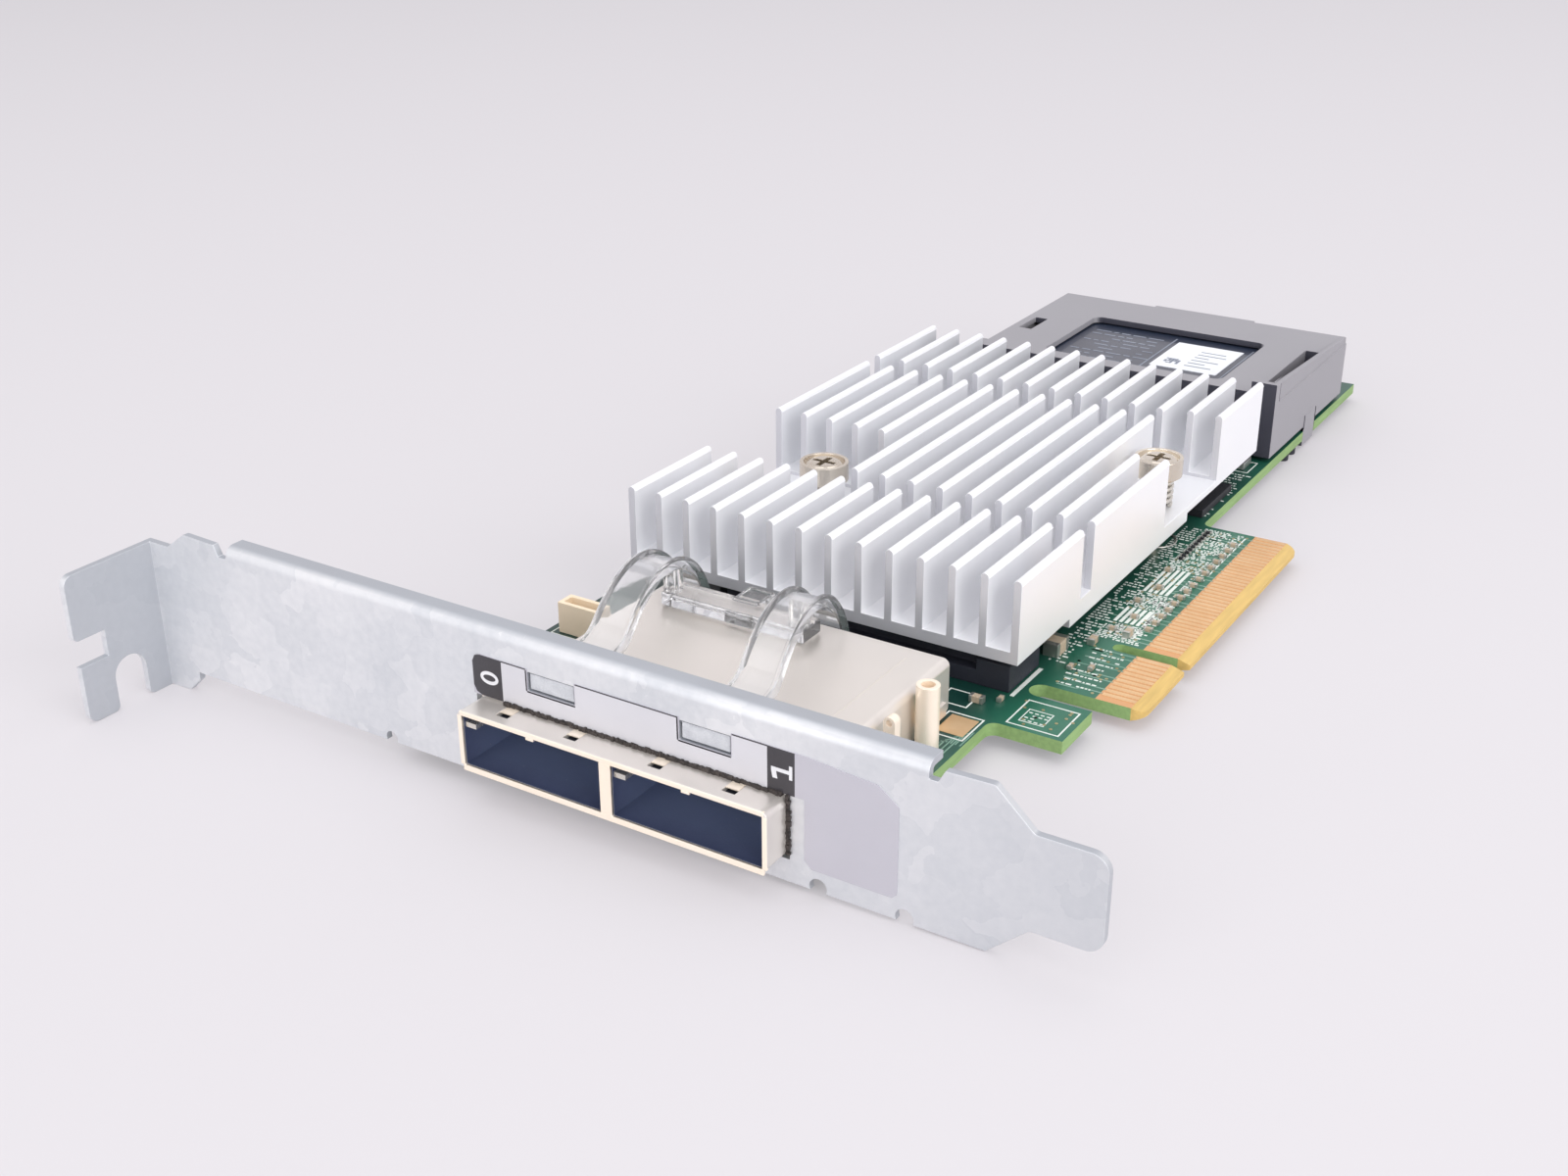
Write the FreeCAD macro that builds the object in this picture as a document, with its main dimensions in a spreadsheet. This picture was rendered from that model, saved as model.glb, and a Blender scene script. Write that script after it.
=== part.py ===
import FreeCAD, Part
import Sketcher
import math
import os

# Storage controller card with a full-height bracket, in millimetres.
# X runs along the bracket from the screw tab to the tongue, Y from the bracket's outer face
# into the card, and Z up from the component face of the board.
# The origin is where the tab's seating plane, the bracket's outer face and the component face meet.

Vector = FreeCAD.Vector
document = FreeCAD.newDocument("storage_controller_card")
sheet = document.addObject("Spreadsheet::Sheet", "Sizes")

# Driving dimensions: alias, value, meaning
DRIVING_SIZES = [
    # board
    ("board_thick", 1.57, "thickness of the printed board"),
    ("board_left", 36.8, "board edge on the screw tab side"),
    ("board_front", 1.6, "board edge behind the bracket"),
    ("board_beside_cage", 4.62, "width of the board beside the port cage"),
    ("board_side_far", 92.35, "board edge behind the edge connector"),
    ("nose_start", 34.2, "near side of the small board nose"),
    ("nose_width", 7.9, "width of the small board nose"),
    ("nose_reach", 100.7, "tip of the small board nose"),
    ("nose_corner", 1.2, "inner corner radius beside the nose"),
    ("relief_root", 92.5, "bottom of the relief slot beside the edge connector"),
    ("connector_start", 45.0, "near end of the edge connector"),
    ("connector_tip", 105.6, "tip of the edge connector"),
    ("first_section", 12.15, "first contact section"),
    ("key_width", 1.9, "width of the key notch"),
    ("key_root", 96.4, "bottom of the key notch"),
    ("second_section", 39.15, "second contact section"),
    ("tip_corner", 1.6, "rounded outer corners of the edge connector"),
    ("bevel_run", 1.55, "length of the bevel at the tip"),
    ("bevel_drop", 0.5, "depth of the bevel at the tip"),
    ("contact_pitch", 1.0, "spacing of the edge contacts"),
    ("contact_width", 0.7, "width of an edge contact"),
    ("contact_length", 4.0, "length of an edge contact"),
    ("contact_thick", 0.05, "plating thickness of an edge contact"),
    ("contact_margin", 1.15, "from a section's end to its first contact"),
    # bracket
    ("sheet_thick", 0.86, "bracket sheet thickness"),
    ("bracket_reach", 120.02, "from the tab's seating face to the tongue's tip"),
    ("bracket_low", -2.85, "lower edge of the bracket"),
    ("bracket_high", 15.1, "top of the stiffening flange"),
    ("flange_depth", 2.7, "depth of the stiffening flange"),
    ("flange_start", 12.8, "flange end on the tab side"),
    ("flange_end", 102.4, "flange end on the tongue side"),
    ("flange_bend", 1.25, "outer bend radius of the flange"),
    ("tongue_low", 0.9, "lower edge of the tongue"),
    ("tongue_width", 10.19, "width of the tongue"),
    ("tongue_shoulder", 112.9, "where the tongue begins"),
    ("tongue_corner", 1.9, "corner radius of the tongue"),
    ("tab_depth", 12.2, "reach of the screw tab"),
    ("tab_low", -5.8, "lower edge of the screw tab"),
    ("tab_high", 12.9, "upper edge of the screw tab"),
    ("tab_corner", 1.3, "corner radius of the screw tab"),
    ("tab_gap_low", 1.5, "lower side of the tab's side slot"),
    ("tab_gap_high", 4.8, "upper side of the tab's side slot"),
    ("tab_gap_root", 8.0, "bottom of the tab's side slot, from the bracket face"),
    ("notch_width", 4.42, "width of the screw notch"),
    ("notch_centre", 5.4, "screw notch centre, from the bracket face"),
    ("notch_height", 6.2, "height of the screw notch"),
    ("ear_length", 9.0, "length of the bracket ears on the board"),
    ("ear_hole", 1.15, "radius of the ear holes"),
    ("ear_play", 0.1, "clearance round the ear screws"),
    ("ear_head_radius", 1.65, "radius of the ear screws' heads"),
    ("ear_head_height", 1.1, "height of the ear screws' heads"),
    ("ear_slot_length", 2.4, "length of the slot in an ear screw"),
    ("ear_slot_width", 0.4, "width of the slot in an ear screw"),
    ("ear_slot_depth", 0.5, "depth of the slot in an ear screw"),
    ("ear_tail", 1.6, "ear screw below the board"),
    ("ear_nut_radius", 1.9, "radius of the ear nuts"),
    ("ear_nut_height", 1.2, "height of the ear nuts"),
    ("nick_one", 36.0, "edge nick on the tab side"),
    ("nick_two", 3.45, "edge nick beside the port cage"),
    ("nick_three", 100.3, "edge nick on the tongue side"),
    ("nick_small", 0.8, "radius of the small edge nick"),
    ("nick_large", 0.95, "radius of the larger edge nicks"),
    # port cage
    ("cage_left", 49.35, "tab side of the port cage"),
    ("bay_width", 17.75, "inner width of a port"),
    ("cage_wall", 0.6, "wall of the port cage"),
    ("cage_floor", 0.3, "floor of the port cage"),
    ("cage_divider", 1.4, "wall between the two ports"),
    ("cage_height", 6.75, "height of the port cage"),
    ("cage_nose", 3.55, "how far the cage stands out of the bracket"),
    ("cage_back", 33.3, "rear of the port cage"),
    ("cage_corner", 0.9, "edge radius of the port cage"),
    ("cage_gap", 0.25, "clearance round the cage in the bracket"),
    ("cage_window", 1.5, "width of the spring windows in the cage"),
    ("window_one_inset", 3.65, "first spring window, from its port's side"),
    ("window_two_inset", 12.4, "second spring window, from its port's side"),
    ("window_start", 1.25, "spring windows, from the cage's mouth"),
    ("window_length", 2.05, "length of the spring windows"),
    ("finger_start", 2.2, "spring fingers, from the cage's mouth"),
    ("finger_length", 2.8, "length of the spring fingers"),
    ("finger_thick", 0.25, "thickness of the spring fingers"),
    ("finger_play", 0.05, "clearance beside a spring finger in its window"),
    ("corner_start", 0.5, "corner springs, from the cage's mouth"),
    ("corner_length", 5.5, "length of the corner springs"),
    ("corner_width", 1.5, "width of the corner springs"),
    ("corner_drop", 0.9, "corner springs, from the port's top"),
    ("corner_thick", 0.6, "thickness of the corner springs"),
    ("port_depth", 12.0, "depth of a port down to its insulator"),
    ("blade_width", 12.4, "width of the contact blade in a port"),
    ("blade_thick", 1.3, "thickness of the contact blade"),
    ("blade_length", 5.0, "length of the contact blade"),
    ("post_gap", 0.3, "from the cage to its posts"),
    ("post_width", 2.6, "width of the tall post"),
    ("post_height", 7.8, "height of the tall post"),
    ("post_front", 23.9, "tall post into the card"),
    ("post_hole", 0.75, "radius of the hole in the tall post"),
    ("post_hole_deep", 1.6, "depth of that hole"),
    ("tag_inset", 0.85, "slim post, from the cage"),
    ("tag_width", 1.4, "width of the slim post"),
    ("tag_height", 7.0, "height of the slim post's straight part"),
    ("tag_front", 16.9, "slim post into the card"),
    ("tag_thick", 1.2, "thickness of the slim post"),
    ("tag_eye", 0.35, "radius of the eye in the slim post"),
    ("pin_pitch", 0.8, "spacing of the port contacts"),
    ("pin_width", 0.35, "width of a port contact"),
    # light pipe
    ("pipe_width", 5.2, "width of a light arm at its window"),
    ("hook_inset", 4.3, "hook of the joining bar, from the first window"),
    ("hook_width", 3.5, "width of the joining bar's hook"),
    ("pipe_taper", 1.0, "how much narrower a light arm is at its foot"),
    ("pipe_skew", 6.5, "sideways drift of a light arm towards its foot"),
    ("pipe_thick", 1.5, "thickness of a light arm"),
    ("arch_radius", 15.8, "outer radius of the light arch"),
    ("arch_centre", 21.5, "centre of the light arch, from the bracket face"),
    ("arch_top", 15.0, "top of the light arch"),
    ("lamp_low", 9.25, "lower edge of the light windows"),
    ("lamp_high", 11.35, "upper edge of the light windows"),
    ("lamp_width", 6.1, "width of a light window"),
    ("lamp_one_inset", 6.25, "first light window, from its port's side"),
    ("lamp_two_inset", 6.0, "second light window, from its port's side"),
    # label on the bracket
    ("label_thick", 0.1, "thickness of the labels"),
    ("label_margin", 0.45, "label beyond the port cage on the tab side"),
    ("label_high", 11.75, "upper edge of the bracket label"),
    ("label_width", 10.1, "width of the wide label field"),
    ("label_low", -0.5, "lower edge of the wide label field"),
    ("label_gap", 1.95, "from the port cage to the wide label field"),
    # heat sink
    ("sink_left", 39.4, "heat sink side on the tab side"),
    ("sink_front", 40.0, "front of the heat sink"),
    ("sink_length", 78.5, "length of the heat sink"),
    ("sink_under", 4.2, "underside of the heat sink's plate"),
    ("sink_plate", 1.5, "thickness of the heat sink's plate"),
    ("sink_top", 14.47, "top of the fins"),
    ("fin_pitch", 4.0, "spacing of the fins"),
    ("fin_thick", 1.0, "thickness of a fin"),
    ("fin_count", 14, "number of fins"),
    ("first_cut", 16.7, "first cross cut, from the front"),
    ("second_cut", 57.8, "second cross cut, from the front"),
    ("cut_width", 3.0, "width of the cross cuts"),
    ("left_pocket", 16.9, "length of the pocket behind the first cut"),
    ("right_pocket", 18.9, "length of the pocket before the third row"),
    ("pocket_step", 0.5, "depth of the pockets below the channels"),
    ("land_start", 14.0, "start of the raised land under the plate"),
    ("land_length", 37.5, "length of the raised land"),
    ("land_drop", 1.15, "depth of the raised land"),
    # heat sink screws
    ("screw_one_x", 52.1, "first screw along the bracket"),
    ("screw_one_y", 65.4, "first screw into the card"),
    ("screw_two_x", 88.4, "second screw along the bracket"),
    ("screw_two_y", 89.8, "second screw into the card"),
    ("head_top", 12.0, "top of the screw heads"),
    ("head_height", 2.5, "height of the screw heads"),
    ("head_radius", 3.2, "radius of the screw heads"),
    ("shank_radius", 1.2, "radius of the screw shanks"),
    ("shank_gap", 0.3, "clearance round the screw shanks"),
    ("spring_radius", 2.0, "mean radius of the screw springs"),
    ("spring_wire", 0.55, "wire diameter of the screw springs"),
    ("spring_turns", 4.5, "turns of the screw springs"),
    ("nut_radius", 2.6, "radius of the nuts below the board"),
    ("nut_height", 1.4, "height of the nuts below the board"),
    # chips
    ("chip_side", 31.0, "side of the controller chip"),
    ("chip_x", 70.3, "controller chip along the bracket"),
    ("chip_y", 77.6, "controller chip into the card"),
    ("chip_base", 1.5, "height of the controller chip's base"),
    ("chip_height", 2.8, "height of the controller chip"),
    ("chip_lid", 24.0, "side of the controller chip's lid"),
    ("memory_width", 9.0, "width of a memory chip"),
    ("memory_length", 11.5, "length of a memory chip"),
    ("memory_height", 1.1, "height of a memory chip"),
    ("memory_pitch", 10.3, "spacing of the memory chips"),
    ("memory_left", 41.2, "first memory chip"),
    ("memory_front", 100.5, "front of the memory chips"),
    ("socket_left", 52.0, "memory socket end on the tab side"),
    ("socket_right", 91.05, "memory socket end beside the board edge"),
    ("socket_front", 41.0, "front of the memory socket"),
    ("socket_depth", 8.0, "depth of the memory socket"),
    ("socket_height", 3.3, "height of the memory socket"),
    # backup battery and its cover
    ("cover_left", 43.9, "cover side on the tab side"),
    ("cover_right", 92.25, "cover side beside the board edge"),
    ("cover_gap", 8.0, "from the heat sink to the cover"),
    ("wing_lead", 1.0, "cover's wing before the cover's front"),
    ("wing_high", 12.0, "top of the wing's outer wall at its front"),
    ("wing_low", 10.0, "top of the wing's outer wall at its rear"),
    ("wing_step", 0.15, "step in the wing's outer wall"),
    ("wing_line", 9.0, "height of that step"),
    ("wing_left", 88.4, "where the cover's wing begins"),
    ("cover_length", 33.7, "length of the cover"),
    ("latch_left", 59.7, "latch at the cover's rear"),
    ("latch_width", 17.1, "width of that latch"),
    ("latch_reach", 0.8, "reach of that latch"),
    ("board_behind_cover", 7.45, "board behind the cover"),
    ("cover_top", 10.0, "top of the cover"),
    ("cover_under", 0.6, "lower edge of the cover's sides"),
    ("cover_wall", 1.0, "wall of the cover"),
    ("window_left", 53.6, "window in the cover, tab side"),
    ("window_right", 82.4, "window in the cover, board edge side"),
    ("window_rim", 3.0, "rim before the window"),
    ("window_depth", 20.5, "depth of the window"),
    ("window_corner", 1.4, "corner radius of the window"),
    ("slot_left", 88.75, "long slot in the cover"),
    ("slot_width", 2.65, "width of the long slot"),
    ("slot_rim", 1.1, "rim before the long slot"),
    ("slot_length", 23.4, "length of the long slot"),
    ("short_slot_inset", 1.4, "short slot, from the cover's side"),
    ("short_slot_width", 2.1, "width of the short slot"),
    ("short_slot_rim", 11.5, "short slot, from the cover's front"),
    ("short_slot_length", 6.3, "length of the short slot"),
    ("clip_gap", 14.7, "board notch for the clip, from the cover's front"),
    ("clip_width", 5.6, "width of the board notch for the cover's clip"),
    ("clip_depth", 1.2, "depth of the board notch for the cover's clip"),
    ("clip_play", 0.15, "clearance of the clip in its notch"),
    ("pack_gap", 0.6, "clearance round the battery pack"),
    ("pack_under", 1.6, "underside of the battery pack"),
    ("pack_top", 8.8, "top of the battery pack"),
    ("pack_label_inset", 15.7, "label on the pack, from the window's side"),
    ("pack_label_width", 10.7, "width of the label on the pack"),
    ("pack_label_rim", 4.7, "label on the pack, from the window's front"),
    ("pack_label_depth", 12.8, "depth of the label on the pack"),
    ("battery_socket_inset", 6.4, "battery socket, from the window's side"),
    ("battery_socket_width", 10.0, "width of the battery socket"),
    ("battery_socket_rim", 10.5, "battery socket, from the window's front"),
    ("battery_socket_depth", 5.0, "depth of the battery socket"),
    ("stub_inset", 1.05, "stubs below the board, from its edge"),
    ("stub_one_gap", 5.8, "first stub, from the clip notch"),
    ("stub_two_gap", 2.6, "second stub, from the clip notch"),
    ("stub_radius", 0.9, "radius of the stubs"),
    ("stub_height", 1.3, "height of the stubs"),
    # rows of chips and small packages
    ("coupling_inset", 7.2, "row of coupling capacitors, from the connector's tip"),
    ("coupling_start", 64.0, "first coupling capacitor"),
    ("coupling_pitch", 2.1, "spacing of the coupling capacitors"),
    ("side_row_x", 94.0, "resistor row beside the heat sink"),
    ("side_row_y", 86.0, "first resistor of that row"),
    ("side_row_pitch", 1.1, "spacing of that row"),
    ("rear_row_x", 40.0, "first resistor of the row behind the heat sink"),
    ("rear_row_y", 124.8, "resistor row behind the heat sink"),
    ("rear_row_pitch", 1.4, "spacing of that row"),
    ("left_row_x", 38.2, "resistor row at the board's left edge"),
    ("left_row_y", 46.0, "first resistor of that row"),
    ("left_row_pitch", 3.0, "spacing of that row"),
    ("flash_left", 74.6, "flash chip along the bracket"),
    ("flash_gap", 1.4, "from the heat sink to the flash chip"),
    ("flash_width", 7.8, "width of the flash chip"),
    ("flash_depth", 5.2, "depth of the flash chip"),
    ("flash_height", 1.7, "height of the flash chip"),
    ("crystal_left", 85.2, "crystal along the bracket"),
    ("crystal_gap", 2.1, "from the heat sink to the crystal"),
    ("crystal_width", 5.0, "width of the crystal"),
    ("crystal_depth", 3.2, "depth of the crystal"),
    ("crystal_height", 1.2, "height of the crystal"),
    ("ground_pad_gap", 0.45, "ground pad beside the port cage"),
    ("ground_pad_width", 3.3, "width of the ground pad"),
    ("ground_pad_front", 29.4, "front of the ground pad"),
    ("ground_pad_depth", 4.0, "depth of the ground pad"),
]
# Ceramic capacitors: centre x, centre y, kind of chip, lying along X or Y
CERAMIC_CAPACITORS = [
    (91.2, 53.2, "large", "Y"), (94.0, 57.6, "medium", "Y"), (96.8, 61.6, "medium", "Y"),
    (94.6, 62.0, "small", "X"), (94.4, 50.2, "small", "Y"), (96.6, 51.2, "small", "Y"),
    (88.9, 37.4, "medium", "X"), (91.0, 39.0, "small", "Y"), (95.6, 66.4, "small", "X"),
    (94.2, 71.0, "small", "X"), (95.0, 76.0, "small", "X"), (94.0, 81.5, "small", "X"),
]
# Chip sizes: kind, length, width, height
CHIP_KINDS = [
    ("large", 3.2, 1.9, 1.7), ("medium", 1.7, 0.9, 0.85), ("small", 1.1, 0.6, 0.55),
    ("resistor", 1.0, 0.5, 0.35),
]
# Square packages: name, centre x, centre y, side, height
SQUARE_PACKAGES = [
    ("inductor_one", 47.6, 46.2, 6.2, 2.6), ("inductor_two", 47.6, 54.4, 6.2, 2.6),
    ("regulator_one", 56.0, 122.2, 5.0, 0.9), ("regulator_two", 66.0, 122.2, 5.0, 0.9),
]
for number, (x, y, kind, along) in enumerate(CERAMIC_CAPACITORS):
    DRIVING_SIZES.append(("capacitor_%d_x" % number, x, "capacitor along the bracket"))
    DRIVING_SIZES.append(("capacitor_%d_y" % number, y, "capacitor into the card"))
for kind, length, width, height in CHIP_KINDS:
    DRIVING_SIZES.append((kind + "_length", length, "length of a %s chip" % kind))
    DRIVING_SIZES.append((kind + "_width", width, "width of a %s chip" % kind))
    DRIVING_SIZES.append((kind + "_height", height, "height of a %s chip" % kind))
for name, x, y, side, height in SQUARE_PACKAGES:
    DRIVING_SIZES.append((name + "_x", x, "package along the bracket"))
    DRIVING_SIZES.append((name + "_y", y, "package into the card"))
    DRIVING_SIZES.append((name + "_side", side, "side of the package"))
    DRIVING_SIZES.append((name + "_height", height, "height of the package"))
ALIASES = set()
for row, (alias, number, meaning) in enumerate(DRIVING_SIZES, start=1):
    sheet.set("A%d" % row, meaning)
    sheet.set("B%d" % row, str(number))
    sheet.setAlias("B%d" % row, alias)
    ALIASES.add(alias)
document.recompute()


class Size:
    """A size with its value now and the sheet expression that gives it."""

    def __init__(self, value, text):
        self.value = float(value)
        self.text = text

    def __float__(self):
        return self.value

    def __add__(self, other):
        other = as_size(other)
        return Size(self.value + other.value, "(%s + %s)" % (self.text, other.text))

    def __radd__(self, other):
        return as_size(other) + self

    def __sub__(self, other):
        other = as_size(other)
        return Size(self.value - other.value, "(%s - %s)" % (self.text, other.text))

    def __rsub__(self, other):
        return as_size(other) - self

    def __mul__(self, factor):
        factor = as_size(factor)
        return Size(self.value * factor.value, "(%s * %s)" % (self.text, factor.text))

    def __rmul__(self, factor):
        return as_size(factor) * self

    def __truediv__(self, divisor):
        divisor = as_size(divisor)
        return Size(self.value / divisor.value, "(%s / %s)" % (self.text, divisor.text))

    def __neg__(self):
        return as_size(0) - self


def as_size(number):
    """Turn a plain number into a size."""
    if isinstance(number, Size):
        return number
    return Size(number, "%.6g" % number)


class Sizes:
    """Gives each cell of the sheet as a size, by its alias."""

    def __getattr__(self, alias):
        return Size(sheet.get(alias), "Sizes." + alias)


size = Sizes()
NODES = []


def keep(label, thing):
    """Name a finished sub-part and put it on the list of nodes."""
    thing.Label = label
    NODES.append((label, thing))
    return thing


def bind(thing, prop, length):
    """Tie one property of an object to the sheet."""
    thing.setExpression(prop, as_size(length).text)


def place(thing, x, y, z):
    """Tie an object's position to the sheet."""
    bind(thing, "Placement.Base.x", x)
    bind(thing, "Placement.Base.y", y)
    bind(thing, "Placement.Base.z", z)


def box(name, x, y, z):
    """A block between pairs of limits along X, Y and Z."""
    block = document.addObject("Part::Box", name)
    place(block, x[0], y[0], z[0])
    bind(block, "Length", as_size(x[1]) - x[0])
    bind(block, "Width", as_size(y[1]) - y[0])
    bind(block, "Height", as_size(z[1]) - z[0])
    return block


def wedge(name, x, y, low, front_high, back_high):
    """A block whose top slopes from its front to its back."""
    block = document.addObject("Part::Wedge", name)
    place(block, x[0], y[0], low)
    width = as_size(x[1]) - x[0]
    length = as_size(y[1]) - y[0]
    for prop, value in (("Xmin", 0), ("Xmax", width), ("X2min", 0), ("X2max", width),
                        ("Ymin", 0), ("Ymax", length), ("Zmin", 0), ("Z2min", 0)):
        bind(block, prop, value)
    # The block's far side along Y carries the second pair of limits.
    bind(block, "Zmax", as_size(front_high) - low)
    bind(block, "Z2max", as_size(back_high) - low)
    return block


TURN_TO = {
    "X": FreeCAD.Rotation(Vector(0, 1, 0), 90),
    "Y": FreeCAD.Rotation(Vector(1, 0, 0), -90),
    "Z": FreeCAD.Rotation(),
}


def rod(name, centre, radius, length, axis="Z"):
    """A cylinder that starts at a point and runs along an axis."""
    cylinder = document.addObject("Part::Cylinder", name)
    cylinder.Placement = FreeCAD.Placement(Vector(), TURN_TO[axis])
    place(cylinder, centre[0], centre[1], centre[2])
    bind(cylinder, "Radius", radius)
    bind(cylinder, "Height", length)
    return cylinder


def fuse(name, pieces):
    """Join pieces into one solid."""
    joined = document.addObject("Part::MultiFuse", name)
    joined.Shapes = pieces
    joined.Refine = True
    return joined


def cut(name, base, tool):
    """Take one solid out of another."""
    result = document.addObject("Part::Cut", name)
    result.Base = base
    result.Tool = tool
    result.Refine = True
    return result


def group(name, pieces):
    """Several separate solids that share one node."""
    together = document.addObject("Part::Compound", name)
    together.Links = pieces
    return together


PLANE_AXES = {"XY_Plane": ("X", "Y"), "XZ_Plane": ("X", "Z"), "YZ_Plane": ("Y", "Z")}


def new_body(name):
    """An empty body."""
    return document.addObject("PartDesign::Body", name)


def new_sketch(body, name, plane, offset=0):
    """An empty sketch on one of the body's own planes, moved along the plane's normal."""
    sketch = body.newObject("Sketcher::SketchObject", name)
    for feature in body.Origin.OriginFeatures:
        if feature.Role == plane:
            sketch.AttachmentSupport = [(feature, "")]
    sketch.MapMode = "FlatFace"
    bind(sketch, "AttachmentOffset.Base.z", offset)
    return sketch


def tie_point(sketch, geometry, point, u, v):
    """Fix a point of a sketch at a place given by the sheet."""
    for kind, length in (("DistanceX", u), ("DistanceY", v)):
        length = as_size(length)
        index = sketch.addConstraint(Sketcher.Constraint(kind, -1, 1, geometry, point, length.value))
        sketch.setExpression("Constraints[%d]" % index, length.text)


def draw_outline(sketch, points):
    """A closed outline through points given by the sheet.

    A point with two values starts a straight line to the next point. A point with a centre and
    a radius as well starts the shorter arc round that centre.
    """
    first = sketch.GeometryCount
    count = len(points)
    places = [Vector(float(point[0]), float(point[1]), 0) for point in points]
    ends = []
    for index, point in enumerate(points):
        start = places[index]
        end = places[(index + 1) % count]
        if len(point) == 2:
            sketch.addGeometry(Part.LineSegment(start, end), False)
            ends.append((1, 2))
            continue
        centre = Vector(float(point[2]), float(point[3]), 0)
        first_angle = math.atan2(start.y - centre.y, start.x - centre.x)
        last_angle = math.atan2(end.y - centre.y, end.x - centre.x)
        forward = (last_angle - first_angle) % (2 * math.pi) < math.pi
        circle = Part.Circle(centre, Vector(0, 0, 1), float(point[4]))
        if forward:
            sketch.addGeometry(Part.ArcOfCircle(circle, first_angle, last_angle), False)
        else:
            sketch.addGeometry(Part.ArcOfCircle(circle, last_angle, first_angle), False)
        ends.append((1, 2) if forward else (2, 1))
    for index in range(count):
        following = (index + 1) % count
        sketch.addConstraint(Sketcher.Constraint(
            "Coincident", first + index, ends[index][1], first + following, ends[following][0]))
    for index, point in enumerate(points):
        tie_point(sketch, first + index, ends[index][0], point[0], point[1])
        if len(point) > 2:
            number = sketch.addConstraint(
                Sketcher.Constraint("Radius", first + index, float(point[4])))
            sketch.setExpression("Constraints[%d]" % number, as_size(point[4]).text)


def draw_circle(sketch, u, v, radius):
    """A circle whose centre and radius come from the sheet."""
    index = sketch.GeometryCount
    centre = Vector(float(u), float(v), 0)
    sketch.addGeometry(Part.Circle(centre, Vector(0, 0, 1), float(radius)), False)
    tie_point(sketch, index, 3, u, v)
    number = sketch.addConstraint(Sketcher.Constraint("Radius", index, float(radius)))
    sketch.setExpression("Constraints[%d]" % number, as_size(radius).text)


def pad(body, name, sketch, length, reverse=False):
    """Raise a sketch into a solid."""
    feature = body.newObject("PartDesign::Pad", name)
    feature.Profile = sketch
    bind(feature, "Length", length)
    feature.Reversed = reverse
    body.Tip = feature
    document.recompute()
    return feature


def pocket(body, name, sketch, length, reverse=False):
    """Cut a sketch out of the solid, and make sure that it cuts."""
    before = body.Shape.Volume
    feature = body.newObject("PartDesign::Pocket", name)
    feature.Profile = sketch
    bind(feature, "Length", length)
    feature.Midplane = False
    feature.Reversed = reverse
    body.Tip = feature
    document.recompute()
    if body.Shape.Volume > before - 1e-6:
        raise RuntimeError(name + " cuts nothing")
    return feature


def edges_at(shape, axis, spots):
    """Names of the straight edges along an axis that stand at the given spots."""
    kept = {"X": ("y", "z"), "Y": ("x", "z"), "Z": ("x", "y")}[axis]
    names = []
    for number, edge in enumerate(shape.Edges, start=1):
        ends = [vertex.Point for vertex in edge.Vertexes]
        if len(ends) != 2:
            continue
        for spot in spots:
            misses = [abs(getattr(end, kept[i]) - float(spot[i])) for end in ends for i in (0, 1)]
            if max(misses) < 1e-4:
                names.append("Edge%d" % number)
    return names


def round_edges(body, name, radius, axis, spots):
    """Round the edges of the body that run along an axis at the given spots."""
    base = body.Tip
    feature = body.newObject("PartDesign::Fillet", name)
    feature.Base = (base, edges_at(base.Shape, axis, spots))
    bind(feature, "Radius", radius)
    body.Tip = feature
    document.recompute()
    return feature


# Places that follow from the driving dimensions
nose_end = size.nose_start + size.nose_width
key_start = size.connector_start + size.first_section
key_end = key_start + size.key_width
connector_end = key_end + size.second_section
board_under = -size.board_thick
tongue_high = size.tongue_low + size.tongue_width
cage_right = size.cage_left + 2 * (size.cage_wall + size.bay_width) + size.cage_divider
bay_one = size.cage_left + size.cage_wall
bay_two = bay_one + size.bay_width + size.cage_divider
board_side_near = cage_right + size.board_beside_cage
label_left = size.cage_left - size.label_margin
label_field = cage_right + size.label_gap
label_right = label_field + size.label_width
lamp_one = bay_one + size.lamp_one_inset
lamp_two = bay_two + size.lamp_two_inset
sink_right = size.sink_left + (size.fin_count - 1) * size.fin_pitch + size.fin_thick
sink_back = size.sink_front + size.sink_length
plate_top = size.sink_under + size.sink_plate
spring_floor = plate_top - size.pocket_step
cover_front = sink_back + size.cover_gap
cover_back = cover_front + size.cover_length
wing_front = cover_front - size.wing_lead
window_front = cover_front + size.window_rim
window_back = window_front + size.window_depth
slot_front = wing_front + size.slot_rim
slot_right = size.slot_left + size.slot_width
clip_start = cover_front + size.clip_gap
clip_end = clip_start + size.clip_width
board_end = cover_back + size.board_behind_cover
flash_front = sink_back + size.flash_gap
crystal_front = sink_back + size.crystal_gap
screws = [(size.screw_one_x, size.screw_one_y), (size.screw_two_x, size.screw_two_y)]
ear_spots = [((size.board_left + size.cage_left) / 2, size.ear_length / 2 + 1.2),
             ((cage_right + board_side_near) / 2 + 0.35, size.ear_length / 2 + 1.2)]


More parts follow.
